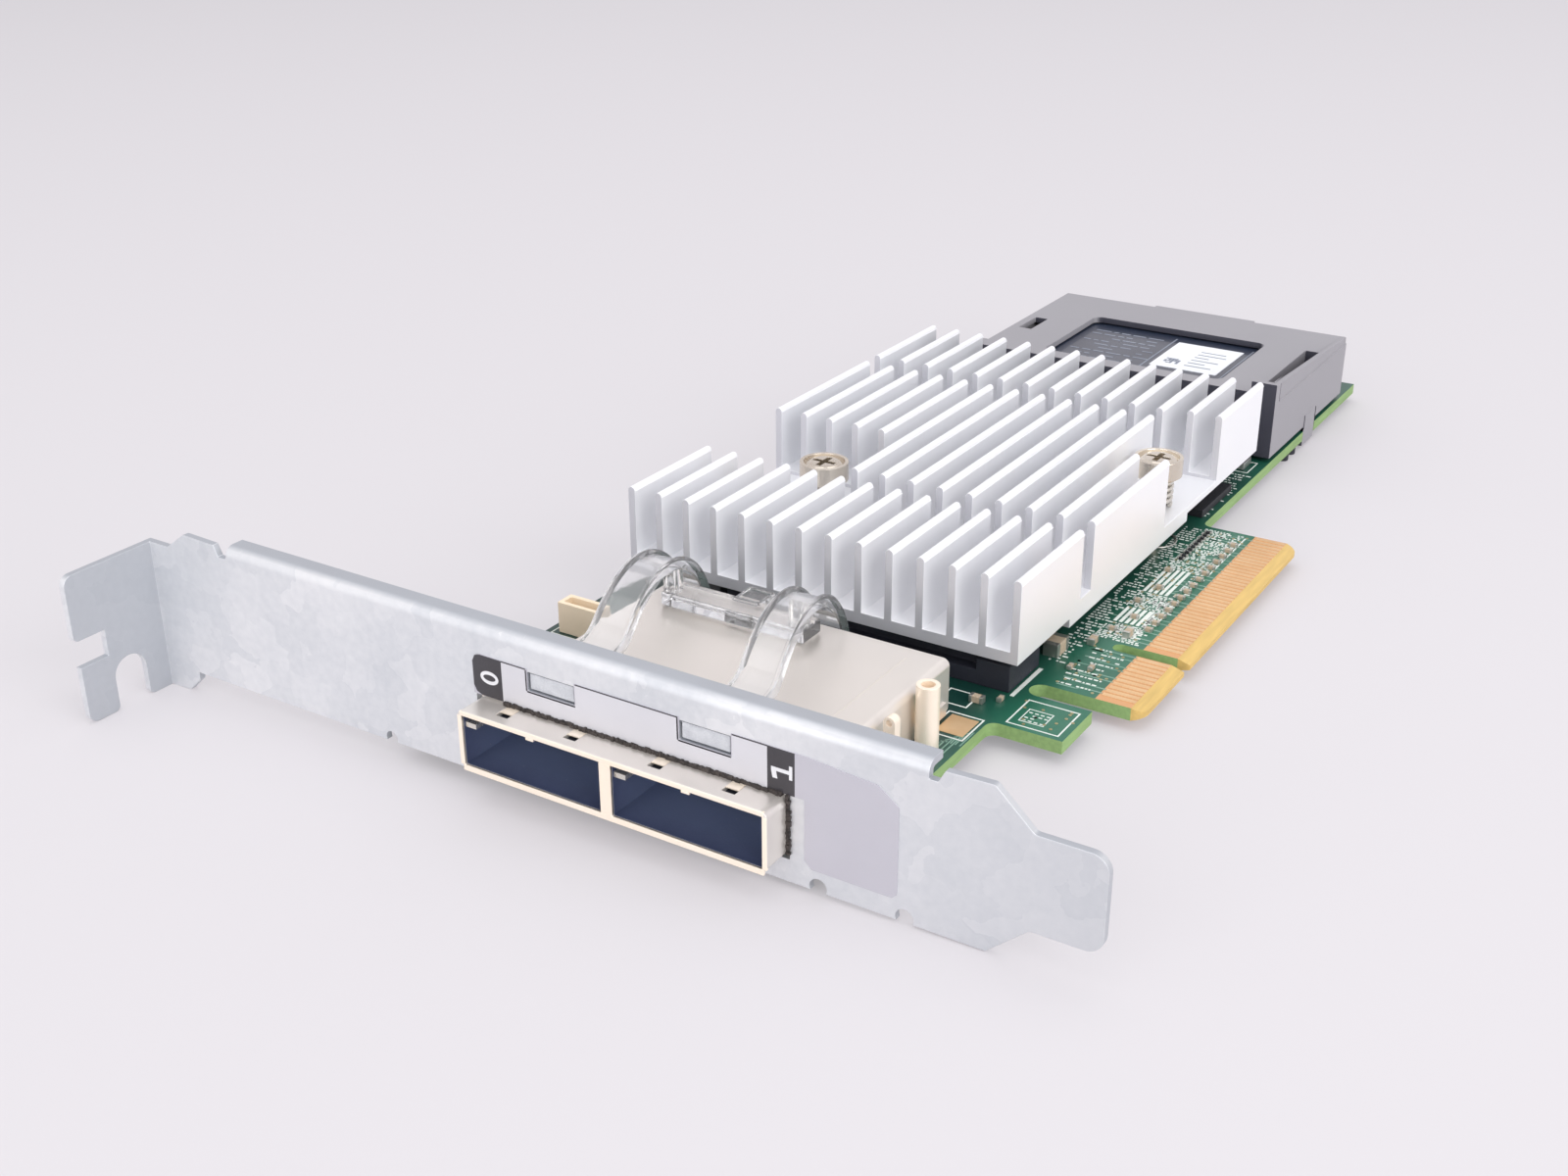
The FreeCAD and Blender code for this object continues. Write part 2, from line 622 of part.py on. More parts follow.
def make_board():
    """The printed board with its nose, relief slot, keyed edge connector and clip notch."""
    body = new_body("board")
    sketch = new_sketch(body, "board_outline", "XY_Plane")
    draw_outline(sketch, [
        (size.board_left, size.board_front),
        (board_side_near, size.board_front),
        (board_side_near, size.nose_start),
        (size.nose_reach, size.nose_start),
        (size.nose_reach, nose_end),
        (size.relief_root, nose_end),
        (size.relief_root, size.connector_start),
        (size.connector_tip, size.connector_start),
        (size.connector_tip, key_start),
        (size.key_root, key_start),
        (size.key_root, key_end),
        (size.connector_tip, key_end),
        (size.connector_tip, connector_end),
        (size.board_side_far, connector_end),
        (size.board_side_far, clip_start),
        (size.board_side_far - size.clip_depth, clip_start),
        (size.board_side_far - size.clip_depth, clip_end),
        (size.board_side_far, clip_end),
        (size.board_side_far, board_end),
        (size.board_left, board_end),
    ])
    pad(body, "board_plate", sketch, size.board_thick, reverse=True)
    relief = (size.connector_start - nose_end) / 2 - 0.02
    round_edges(body, "relief_round", relief, "Z",
                [(size.relief_root, nose_end), (size.relief_root, size.connector_start)])
    round_edges(body, "key_round", size.key_width / 2 - 0.02, "Z",
                [(size.key_root, key_start), (size.key_root, key_end)])
    round_edges(body, "inner_corner", size.nose_corner, "Z",
                [(board_side_near, size.nose_start), (size.board_side_far, connector_end)])
    round_edges(body, "tip_corners", size.tip_corner, "Z",
                [(size.connector_tip, size.connector_start), (size.connector_tip, connector_end)])
    bevel = new_sketch(body, "tip_bevel", "XZ_Plane")
    bevel_start = size.connector_tip - size.bevel_run
    overshoot = size.connector_tip + 0.2
    for surface, tip in ((as_size(0), -size.bevel_drop),
                         (board_under, board_under + size.bevel_drop)):
        slope = (tip - surface) / size.bevel_run
        draw_outline(bevel, [
            (bevel_start, surface),
            (overshoot, surface + slope * (size.bevel_run + 0.2)),
            (overshoot, surface - slope),
            (bevel_start, surface - slope),
        ])
    pocket(body, "bevel_cut", bevel, connector_end + 1)
    holes = new_sketch(body, "board_holes", "XY_Plane")
    for x, y in screws:
        draw_circle(holes, x, y, size.shank_radius + size.shank_gap)
    for x, y in ear_spots:
        draw_circle(holes, x, y, size.ear_hole)
    pocket(body, "hole_cut", holes, size.board_thick)
    return keep("circuit_board", body)


def make_contacts(label, low, high):
    """The plated contacts of one face of the edge connector."""
    start = size.connector_tip - size.bevel_run - size.contact_length
    strips = []
    for section, length in ((size.connector_start, size.first_section),
                            (key_end, size.second_section)):
        room = float(length - 2 * size.contact_margin)
        count = int(math.floor(room / float(size.contact_pitch) + 0.5)) + 1
        for number in range(count):
            near = section + size.contact_margin + number * size.contact_pitch
            strips.append(box(label + "_strip", (start, start + size.contact_length),
                              (near, near + size.contact_width), (low, high)))
    return keep(label, group(label + "_group", strips))


def make_bracket():
    """The folded bracket: face, tongue, screw tab, stiffening flange and two board ears."""
    body = new_body("bracket")
    face = new_sketch(body, "bracket_face", "XZ_Plane")
    low = size.bracket_low
    high = size.bracket_high
    bend_line = high - size.flange_bend
    draw_outline(face, [
        (0, size.tab_low),
        (3.2, size.tab_low + 0.1),
        (5.2, size.tab_low + 2),
        (5.2, low),
        (size.tongue_shoulder - 4.2, low),
        (size.tongue_shoulder, size.tongue_low),
        (size.bracket_reach, size.tongue_low),
        (size.bracket_reach, tongue_high),
        (size.tongue_shoulder, tongue_high),
        (size.tongue_shoulder - 4.0, high - 0.25),
        (size.flange_end + 1.6, high - 0.4),
        (size.flange_end + 0.9, high - 1.7),
        (size.flange_end, high - 1.7),
        (size.flange_end, bend_line),
        (size.flange_start, bend_line),
        (size.flange_start - 0.3, high - 1.5),
        (size.flange_start - 1.3, high - 1.5),
        (size.flange_start - 1.9, high - 0.15),
        (size.flange_start - 6.8, high),
        (size.flange_start - 9.8, size.tab_high),
        (0, size.tab_high),
    ])
    pad(body, "face_plate", face, size.sheet_thick, reverse=True)
    tab = new_sketch(body, "screw_tab", "YZ_Plane")
    reach = -size.tab_depth
    notch_near = -size.notch_centre + size.notch_width / 2
    notch_far = -size.notch_centre - size.notch_width / 2
    notch_root = size.tab_low + size.notch_height
    draw_outline(tab, [
        (size.sheet_thick, size.tab_low),
        (size.sheet_thick, size.tab_high),
        (reach, size.tab_high),
        (reach, size.tab_gap_high),
        (-size.tab_gap_root, size.tab_gap_high),
        (-size.tab_gap_root, size.tab_gap_low),
        (reach + 0.3, size.tab_gap_low),
        (reach + 0.3, size.tab_low),
        (notch_far, size.tab_low),
        (notch_far, notch_root),
        (notch_near, notch_root),
        (notch_near, size.tab_low),
    ])
    pad(body, "tab_plate", tab, size.sheet_thick, reverse=True)
    flange = new_sketch(body, "flange_section", "YZ_Plane", size.flange_start)
    inside = high - size.sheet_thick
    draw_outline(flange, [
        (0, bend_line - 0.1),
        (0, bend_line, size.flange_bend, bend_line, size.flange_bend),
        (size.flange_bend, high),
        (size.flange_depth, high),
        (size.flange_depth, inside),
        (size.flange_bend, inside, size.flange_bend, bend_line, size.flange_bend - size.sheet_thick),
        (size.sheet_thick, bend_line),
        (size.sheet_thick, bend_line - 0.1),
    ])
    pad(body, "flange_plate", flange, size.flange_end - size.flange_start)
    ears = new_sketch(body, "board_ears", "XY_Plane")
    for (x, y), half in zip(ear_spots, (3.4, 1.7)):
        draw_outline(ears, [
            (x - half, 0),
            (x + half, 0),
            (x + half, size.ear_length + 1.6),
            (x - half, size.ear_length + 1.6),
        ])
    pad(body, "ear_plates", ears, size.sheet_thick)
    round_edges(body, "tongue_corners", size.tongue_corner, "Y",
                [(size.bracket_reach, size.tongue_low), (size.bracket_reach, tongue_high)])
    round_edges(body, "tab_corners", size.tab_corner, "X",
                [(reach, size.tab_high), (reach + 0.3, size.tab_low)])
    round_edges(body, "tab_small_corners", 0.7, "X",
                [(reach, size.tab_gap_high), (notch_far, size.tab_low), (notch_near, size.tab_low)])
    round_edges(body, "notch_round", size.notch_width / 2 - 0.02, "X",
                [(notch_far, notch_root), (notch_near, notch_root)])
    round_edges(body, "shoulder_corners", 0.8, "Y",
                [(size.tongue_shoulder - 4.0, high - 0.25), (size.tongue_shoulder, size.tongue_low),
                 (size.tongue_shoulder, tongue_high), (size.flange_start - 6.8, high)])
    openings = new_sketch(body, "bracket_openings", "XZ_Plane")
    gap = size.cage_gap
    draw_outline(openings, [
        (size.cage_left - gap, -gap),
        (cage_right + gap, -gap),
        (cage_right + gap, size.cage_height + gap),
        (size.cage_left - gap, size.cage_height + gap),
    ])
    for left in (lamp_one, lamp_two):
        draw_outline(openings, [
            (left, size.lamp_low),
            (left + size.lamp_width, size.lamp_low),
            (left + size.lamp_width, size.lamp_high),
            (left, size.lamp_high),
        ])
    for x, radius in ((size.nick_one, size.nick_small), (cage_right + size.nick_two, size.nick_large),
                      (size.nick_three, size.nick_large)):
        draw_circle(openings, x, low + radius / 2, radius)
    pocket(body, "opening_cut", openings, size.sheet_thick)
    holes = new_sketch(body, "ear_holes", "XY_Plane")
    for x, y in ear_spots:
        draw_circle(holes, x, y, size.ear_hole)
    pocket(body, "ear_hole_cut", holes, size.sheet_thick, reverse=True)
    return keep("bracket", body)


def make_ear_screws():
    """Screws with their nuts below the board, one for each bracket ear."""
    bolts = []
    nuts = []
    for x, y in ear_spots:
        shank = rod("ear_shank", (x, y, board_under - size.ear_tail),
                    size.ear_hole - size.ear_play,
                    size.board_thick + size.sheet_thick + size.ear_tail)
        head = rod("ear_head", (x, y, size.sheet_thick), size.ear_head_radius,
                   size.ear_head_height)
        head_top = size.sheet_thick + size.ear_head_height
        slot = box("ear_slot", (x - size.ear_slot_length / 2, x + size.ear_slot_length / 2),
                   (y - size.ear_slot_width / 2, y + size.ear_slot_width / 2),
                   (head_top - size.ear_slot_depth, head_top + 0.3))
        bolts.append(cut("ear_screw", fuse("ear_bolt", [shank, head]), slot))
        plate = rod("ear_nut_body", (x, y, board_under - size.ear_nut_height),
                    size.ear_nut_radius, size.ear_nut_height)
        bore = rod("ear_nut_bore", (x, y, board_under - size.ear_nut_height - 0.1),
                   size.ear_hole - size.ear_play / 2, size.ear_nut_height + 0.2)
        nuts.append(cut("ear_nut", plate, bore))
    keep("bracket_screws", group("bracket_screw_group", bolts))
    keep("bracket_nuts", group("bracket_nut_group", nuts))


def make_bracket_label():
    """The one-piece label on the bracket, cut out round the cage and the light windows."""
    body = new_body("bracket_label")
    sketch = new_sketch(body, "label_outline", "XZ_Plane")
    over_cage = size.cage_height + size.cage_gap
    points = [
        (label_left, over_cage),
        (label_field, over_cage),
        (label_field, size.label_low + 0.8),
        (label_field + 0.8, size.label_low),
        (label_right - 0.5, size.label_low),
        (label_right, size.label_low + 0.5),
        (label_right, size.label_high - 2.3),
        (label_right - 2.2, size.label_high - 0.6),
        (label_field, size.label_high),
    ]
    for left in (lamp_two, lamp_one):
        points += [
            (left + size.lamp_width, size.label_high),
            (left + size.lamp_width, size.lamp_low),
            (left, size.lamp_low),
            (left, size.label_high),
        ]
    points += [(label_left + 1.0, size.label_high), (label_left, size.label_high - 1.0)]
    draw_outline(sketch, points)
    pad(body, "label_sheet", sketch, size.label_thick)
    return keep("bracket_label", body)


def make_cage():
    """The metal shell of the two ports, open towards the bracket."""
    nose = -size.cage_nose
    shell = box("cage_block", (size.cage_left, cage_right), (nose, size.cage_back),
                (0, size.cage_height))
    rounded = document.addObject("Part::Fillet", "cage_rounded")
    rounded.Base = shell
    document.recompute()
    corners = [(x, z) for x in (size.cage_left, cage_right) for z in (0, size.cage_height)]
    names = edges_at(shell.Shape, "Y", corners)
    radius = float(size.cage_corner)
    rounded.Edges = [(int(name[4:]), radius, radius) for name in names]
    tools = []
    inner_back = size.cage_back - size.cage_wall
    for left in (bay_one, bay_two):
        tools.append(box("bay", (left, left + size.bay_width), (nose - 1, inner_back),
                         (size.cage_floor, size.cage_height - size.cage_wall)))
        for inset in (size.window_one_inset, size.window_two_inset):
            near = left + inset
            start = nose + size.window_start
            tools.append(box("spring_window", (near, near + size.cage_window),
                             (start, start + size.window_length),
                             (size.cage_height - size.cage_wall - 0.1, size.cage_height + 0.1)))
    return keep("port_cage", cut("cage_shell", rounded, fuse("cage_hollow", tools)))


def make_cage_springs():
    """Spring fingers under the cage's windows and at the corner of each port."""
    nose = -size.cage_nose
    fingers = []
    top = size.cage_height - size.cage_wall
    for left in (bay_one, bay_two):
        for inset in (size.window_one_inset, size.window_two_inset):
            near = left + inset + size.finger_play
            start = nose + size.finger_start
            fingers.append(box("window_spring",
                               (near, near + size.cage_window - 2 * size.finger_play),
                               (start, start + size.finger_length), (top - size.finger_thick, top)))
        start = nose + size.corner_start
        under = top - size.corner_drop - size.corner_thick
        fingers.append(box("corner_spring", (left, left + size.corner_width),
                           (start, start + size.corner_length),
                           (under, under + size.corner_thick)))
    return keep("cage_springs", group("cage_spring_group", fingers))


def make_port_inserts():
    """The black insulator in each port with its contact blade, and the contacts on the blade."""
    start = size.port_depth - size.cage_nose
    back = size.cage_back - size.cage_wall
    middle = (size.cage_floor + size.cage_height - size.cage_wall) / 2
    reach = start - size.blade_length
    pins = []
    for number, left in enumerate((bay_one, bay_two)):
        block = box("insert_block", (left, left + size.bay_width), (start, back),
                    (size.cage_floor, size.cage_height - size.cage_wall))
        centre = left + size.bay_width / 2
        blade = box("insert_blade", (centre - size.blade_width / 2, centre + size.blade_width / 2),
                    (reach, start + 1), (middle - size.blade_thick / 2, middle + size.blade_thick / 2))
        keep("port_insert_%d" % number, fuse("port_insert_solid", [block, blade]))
        count = int(math.floor(float(size.blade_width / size.pin_pitch) - 0.4))
        for side in (-1, 1):
            face = middle + side * size.blade_thick / 2
            low, high = (face, face + 0.12) if side > 0 else (face - 0.12, face)
            for index in range(count):
                near = centre + (index - (count - 1) / 2) * size.pin_pitch - size.pin_width / 2
                pins.append(box("port_pin", (near, near + size.pin_width),
                                (reach + 0.6, start), (low, high)))
    return keep("port_contacts", group("port_contact_group", pins))


def make_light_pipe():
    """The clear light pipe: two skewed arches over the cage, joined by a bar."""
    solids = []
    centre_height = size.arch_top - size.arch_radius
    front = as_size(0.3)
    back = size.arch_centre + size.arch_radius + 0.5
    foot_low = as_size(1.3)
    for lamp in (lamp_one, lamp_two):
        plan = new_body("arm_plan")
        sketch = new_sketch(plan, "arm_plan_outline", "XY_Plane")
        left = lamp + 0.7
        right = left + size.pipe_width
        draw_outline(sketch, [
            (left, front),
            (right, front),
            (right - size.pipe_skew / 4, 11),
            (right - size.pipe_skew - 1.8, back),
            (left - size.pipe_skew - 1.8 + size.pipe_taper, back),
            (left - size.pipe_skew / 4, 11),
        ])
        pad(plan, "arm_plan_pad", sketch, size.arch_top + 1)
        span = (left - size.pipe_skew - 3, right + 1)
        ring = cut("arch_ring",
                   rod("arch_outside", (span[0], size.arch_centre, centre_height),
                       size.arch_radius, span[1] - span[0], "X"),
                   rod("arch_inside", (span[0] - 1, size.arch_centre, centre_height),
                       size.arch_radius - size.pipe_thick, span[1] - span[0] + 2, "X"))
        room = box("arch_room", span, (10.2, back), (foot_low, size.arch_top + 1))
        arch = document.addObject("Part::Common", "arch")
        arch.Base = ring
        arch.Tool = room
        run = box("window_run", span, (front, 11.4), (size.lamp_high - 1.8, size.lamp_high - 0.2))
        arm = document.addObject("Part::Common", "arm")
        arm.Base = fuse("arm_side", [arch, run])
        arm.Tool = plan
        solids.append(arm)
        solids.append(box("window_lip", (left - 0.2, right - 0.2),
                          (size.sheet_thick + 0.2, size.sheet_thick + 1.4),
                          (size.lamp_low - 0.5, size.lamp_high - 0.2)))
    floor = size.cage_height + 0.15
    bar_start = size.arch_centre + 6.0
    inner_one = lamp_one - 1.6
    inner_two = lamp_two - 4.4
    solids.append(box("joining_bar", (inner_one - 1.8, inner_two + 1.8),
                      (bar_start, bar_start + 3.8), (floor, floor + 1.7)))
    for inside in (inner_one, inner_two):
        solids.append(box("bar_post", (inside - 1.4, inside + 0.4), (bar_start, bar_start + 2.0),
                          (floor, floor + 5.2)))
    hook = lamp_one + size.hook_inset
    solids.append(box("bar_hook", (hook, hook + size.hook_width),
                      (bar_start + 3.4, bar_start + 7.4), (floor, floor + 1.4)))
    return keep("light_pipe", fuse("light_pipe_solid", solids))


def make_status_lamps():
    """The two lamps on the board below the light pipe's rear legs."""
    lamps = []
    back = size.arch_centre + size.arch_radius
    for lamp in (lamp_one, lamp_two):
        middle = lamp + 0.7 - size.pipe_skew - 1.6 + size.pipe_width / 2 + 0.5
        lamps.append(box("lamp", (middle - 0.8, middle + 0.8), (back - 1.6, back), (0, 1.1)))
    return keep("status_lamps", group("status_lamp_group", lamps))


def make_guide_posts():
    """A tall hollow post and a slim one with an eye, both beside the cage."""
    radius = size.post_width / 2
    x = cage_right + size.post_gap + radius
    y = size.post_front + radius
    tall = rod("tall_post", (x, y, 0), radius, size.post_height)
    hole = rod("tall_post_hole", (x, y, size.post_height - size.post_hole_deep),
               size.post_hole, size.post_hole_deep + 1)
    left = cage_right + size.tag_inset
    middle = left + size.tag_width / 2
    near = size.tag_front
    stem = box("slim_stem", (left, left + size.tag_width), (near, near + size.tag_thick),
               (0, size.tag_height))
    crown = rod("slim_crown", (middle, near, size.tag_height), size.tag_width / 2,
                size.tag_thick, "Y")
    eye = rod("slim_eye", (middle, near - 1, size.tag_height), size.tag_eye,
              size.tag_thick + 2, "Y")
    posts = [cut("tall_post_body", tall, hole),
             cut("slim_post_body", fuse("slim_post_solid", [stem, crown]), eye)]
    return keep("guide_posts", group("guide_post_group", posts))


def make_heat_sink():
    """The extruded and cross-cut heat sink, with screw pockets and a raised land below."""
    front = size.sink_front
    plate = box("sink_plate_block", (size.sink_left, sink_right), (front, sink_back),
                (size.sink_under, plate_top))
    land = box("sink_land", (size.sink_left, sink_right),
               (front + size.land_start, front + size.land_start + size.land_length),
               (size.sink_under - size.land_drop, size.sink_under))
    fins = []
    crown = size.fin_thick / 2 - 0.01
    count = int(float(size.fin_count))
    for number in range(count):
        left = size.sink_left + number * size.fin_pitch
        fins.append(box("fin", (left, left + size.fin_thick), (front, sink_back),
                        (plate_top - 0.2, size.sink_top - crown)))
        fins.append(rod("fin_crown", (left + size.fin_thick / 2, front, size.sink_top - crown),
                        crown, size.sink_length, "Y"))
    block = fuse("sink_block", [plate, land] + fins)
    cuts = []
    above = size.sink_top + 1
    beyond = size.sink_left - 1
    for start in (size.first_cut, size.second_cut):
        cuts.append(box("cross_cut", (beyond, sink_right + 1),
                        (front + start, front + start + size.cut_width), (plate_top, above)))
    pocket_front = front + size.first_cut
    cuts.append(box("left_pocket_cut", (beyond, size.sink_left + 4.6 * size.fin_pitch),
                    (pocket_front, pocket_front + size.left_pocket), (spring_floor, above)))
    third_row = front + size.second_cut + size.cut_width + 1.1
    cuts.append(box("right_pocket_cut", (sink_right - 1.95 * size.fin_pitch, sink_right + 1),
                    (third_row - size.right_pocket, third_row), (spring_floor, above)))
    for x, y in screws:
        cuts.append(rod("sink_hole", (x, y, 0), size.shank_radius + size.shank_gap, above))
    return keep("heat_sink", cut("heat_sink_solid", block, fuse("sink_cuts", cuts)))


def make_sink_screws():
    """Shouldered screws with a flanged head and a cross recess."""
    bolts = []
    for x, y in screws:
        under_head = size.head_top - size.head_height
        shank = rod("sink_shank", (x, y, board_under - size.nut_height), size.shank_radius,
                    under_head - board_under + size.nut_height + 0.1)
        head = rod("sink_head", (x, y, under_head), size.head_radius, size.head_height)
        dish = rod("sink_dish", (x, y, size.head_top - 0.5), size.head_radius - 0.5, 1)
        crown = document.addObject("Part::Cone", "sink_crown")
        place(crown, x, y, size.head_top - 0.5)
        bind(crown, "Radius1", size.head_radius - 0.5)
        bind(crown, "Radius2", size.head_radius - 1.4)
        bind(crown, "Height", 0.45)
        arms = []
        for wide, deep in ((1.6, 0.35), (0.35, 1.6)):
            arms.append(box("sink_recess", (x - wide, x + wide), (y - deep, y + deep),
                            (size.head_top - 1.5, size.head_top + 1)))
        hollow = cut("sink_head_dished", fuse("sink_bolt", [shank, head]), dish)
        bolts.append(cut("sink_screw", fuse("sink_bolt_crowned", [hollow, crown]),
                         fuse("sink_cross", arms)))
    return keep("heat_sink_screws", group("sink_screw_group", bolts))


def make_sink_springs():
    """Coil springs between the screw heads and the pocket floors."""
    coils = []
    wire = float(size.spring_wire)
    low = float(spring_floor) + wire / 2 + 0.02
    high = float(size.head_top - size.head_height) - wire / 2 - 0.02
    turns = float(size.spring_turns)
    radius = float(size.spring_radius)
    for x, y in screws:
        helix = Part.makeHelix((high - low) / turns, high - low, radius)
        profile = Part.Wire([Part.makeCircle(wire / 2, Vector(radius, 0, 0), Vector(0, 1, 0))])
        coil = Part.Wire(helix.Edges).makePipeShell([profile], True, True)
        coil.translate(Vector(float(x), float(y), low))
        coils.append(coil)
    springs = document.addObject("Part::Feature", "sink_spring_pair")
    springs.Shape = Part.makeCompound(coils)
    return keep("heat_sink_springs", springs)


def make_sink_nuts():
    """Hexagonal nuts on the underside of the board that take the heat sink's screws."""
    nuts = []
    for x, y in screws:
        outside = document.addObject("Part::Prism", "sink_nut_body")
        place(outside, x, y, board_under - size.nut_height)
        bind(outside, "Circumradius", size.nut_radius)
        bind(outside, "Height", size.nut_height)
        bore = rod("sink_nut_bore", (x, y, board_under - size.nut_height - 0.5),
                   size.shank_radius + 0.05, size.nut_height + 1)
        nuts.append(cut("sink_nut", outside, bore))
    return keep("heat_sink_nuts", group("sink_nut_group", nuts))


def make_controller():
    """The controller chip with its lid, and the thermal pad between it and the heat sink."""
    half = size.chip_side / 2
    lid = size.chip_lid / 2
    base = box("chip_carrier", (size.chip_x - half, size.chip_x + half),
               (size.chip_y - half, size.chip_y + half), (0.25, size.chip_base))
    cap = box("chip_cap", (size.chip_x - lid, size.chip_x + lid),
              (size.chip_y - lid, size.chip_y + lid), (size.chip_base, size.chip_height))
    balls = box("chip_balls", (size.chip_x - half + 1, size.chip_x + half - 1),
                (size.chip_y - half + 1, size.chip_y + half - 1), (0, 0.25))
    keep("controller_chip", fuse("controller_solid", [base, cap, balls]))
    pad_top = size.sink_under - size.land_drop
    sheet_pad = box("thermal_sheet", (size.chip_x - lid, size.chip_x + lid),
                    (size.chip_y - lid, size.chip_y + lid), (size.chip_height, pad_top))
    keep("thermal_pad", sheet_pad)


def make_memory():
    """Memory chips under the last row of fins, and the low socket at the front."""
    chips = []
    for number in range(5):
        left = size.memory_left + number * size.memory_pitch
        chips.append(box("memory_chip", (left, left + size.memory_width),
                         (size.memory_front, size.memory_front + size.memory_length),
                         (0, size.memory_height)))
    keep("memory_chips", group("memory_chip_group", chips))
    front = size.socket_front
    body = box("socket_body", (size.socket_left, size.socket_right),
               (front, front + size.socket_depth), (0, size.socket_height))
    ledge = box("socket_ledge", (size.socket_left - 1, size.socket_right - 4.2),
                (front - 1, front + 1.6), (1.9, size.socket_height + 1))
    slot = box("socket_slot", (size.socket_left + 1.5, size.socket_right - 1.5),
               (front + 3.4, front + 4.6), (1.2, size.socket_height + 1))
    keep("memory_socket", cut("socket_solid", body, fuse("socket_cuts", [ledge, slot])))


def make_header():
    """The cream board header near the bracket, and its pins."""
    shell = box("header_shell", (38.4, 44.6), (26.6, 29.2), (0, 4.0))
    hollow = box("header_hollow", (39.0, 44.0), (27.2, 28.6), (1.2, 5.0))
    keep("board_header", cut("header_solid", shell, hollow))
    pins = [box("header_pin", (x, x + 0.4), (27.7, 28.1), (1.2, 3.4)) for x in (40.0, 41.3, 42.6)]
    keep("header_pins", group("header_pin_group", pins))


def make_battery():
    """The backup battery pack with its label, its clip-on cover and its board socket."""
    under = size.cover_under
    outside = box("cover_block", (size.cover_left, slot_right), (cover_front, cover_back),
                  (under, size.cover_top))
    outer_wall = wedge("wing_wall", (slot_right, size.cover_right), (wing_front, cover_back),
                       under, size.wing_high, size.wing_low)
    rim = box("wing_rim", (size.wing_left, slot_right), (wing_front, slot_front),
              (under, size.wing_high))
    far_latch = box("cover_latch", (size.latch_left, size.latch_left + size.latch_width),
                    (cover_back - 0.5, cover_back + size.latch_reach), (5.0, size.cover_top))
    lug_y = cover_front + 4.7
    lug = rod("cover_lug", (size.cover_left - 2.2, lug_y, 4.6), 1.3, 4.4)
    lug_root = box("cover_lug_root", (size.cover_left - 2.2, size.cover_left + 0.5),
                   (lug_y - 1.3, lug_y + 1.3), (4.6, 9.0))
    clip_y = (clip_start + size.clip_play, clip_end - size.clip_play)
    clip = box("cover_clip", (size.board_side_far - size.clip_depth + size.clip_play,
                              size.board_side_far), clip_y, (board_under - 0.3, under + 2))
    hook = box("cover_hook", (size.board_side_far - size.clip_depth - 0.9, size.board_side_far),
               clip_y, (board_under - 0.9, board_under - 0.05))
    legs = []
    for x in (size.cover_left, size.cover_right - 3.0):
        legs.append(box("cover_leg", (x, x + 2.0), (cover_back - 3.0, cover_back),
                        (0, under + 0.5)))
    shell = fuse("cover_outside", [outside, outer_wall, rim, far_latch, lug, lug_root, clip, hook] + legs)
    wall = size.cover_wall
    cuts = [box("cover_inside", (size.cover_left + wall, size.wing_left - wall),
                (cover_front + wall, cover_back - wall),
                (under - 3, size.cover_top - wall))]
    cuts.append(box("wing_line_step", (size.cover_right - size.wing_step, size.cover_right + 1),
                    (wing_front + 1.8, cover_back + 1), (size.wing_line, size.wing_high + 1)))
    corner = size.window_corner
    cuts.append(box("window_long", (size.window_left, size.window_right),
                    (window_front + corner, window_back - corner),
                    (under, size.cover_top + 1)))
    cuts.append(box("window_wide", (size.window_left + corner, size.window_right - corner),
                    (window_front, window_back), (under, size.cover_top + 1)))
    for x in (size.window_left + corner, size.window_right - corner):
        for y in (window_front + corner, window_back - corner):
            cuts.append(rod("window_round", (x, y, under), corner, size.cover_top - under + 1))
    cuts.append(box("long_slot", (size.slot_left, slot_right),
                    (slot_front, slot_front + size.slot_length), (under + 2, size.wing_high + 1)))
    short_left = size.cover_left + size.short_slot_inset
    short_front = cover_front + size.short_slot_rim
    cuts.append(box("short_slot", (short_left, short_left + size.short_slot_width),
                    (short_front, short_front + size.short_slot_length),
                    (under + 5, size.cover_top + 1)))
    keep("battery_cover", cut("cover_solid", shell, fuse("cover_cuts", cuts)))
    gap = size.pack_gap
    pack_x = (size.window_left - 2.0, size.window_right + 2.0)
    pack_y = (cover_front + wall + gap, window_back + 2.0)
    pack = box("pack_block", pack_x, pack_y, (size.pack_under, size.pack_top))
    rounded = document.addObject("Part::Fillet", "pack_rounded")
    rounded.Base = pack
    document.recompute()
    names = edges_at(pack.Shape, "Y", [(x, z) for x in pack_x for z in (size.pack_under, size.pack_top)])
    rounded.Edges = [(int(name[4:]), 1.2, 1.2) for name in names]
    keep("battery_pack", rounded)
    left = size.window_left + size.pack_label_inset
    near = window_front + size.pack_label_rim
    keep("battery_label", box("pack_label", (left, left + size.pack_label_width),
                              (near, near + size.pack_label_depth),
                              (size.pack_top, size.pack_top + size.label_thick)))
    left = size.window_left + size.battery_socket_inset
    near = window_front + size.battery_socket_rim
    socket = box("battery_socket_block", (left, left + size.battery_socket_width),
                 (near, near + size.battery_socket_depth), (0, size.pack_under))
    keep("battery_socket", socket)


def make_feet():
    """The two small stubs below the board beside the cover's clip."""
    x = size.board_side_far - size.stub_inset
    stubs = [rod("stub", (x, clip_start - gap, board_under - size.stub_height),
                 size.stub_radius, size.stub_height)
             for gap in (size.stub_one_gap, size.stub_two_gap)]
    return keep("board_stubs", group("stub_group", stubs))


def chip_part(name, x, y, kind, along):
    """A small block-shaped part on the board."""
    length = getattr(size, kind + "_length")
    width = getattr(size, kind + "_width")
    if along == "Y":
        length, width = width, length
    return box(name, (x - length / 2, x + length / 2), (y - width / 2, y + width / 2),
               (0, getattr(size, kind + "_height")))


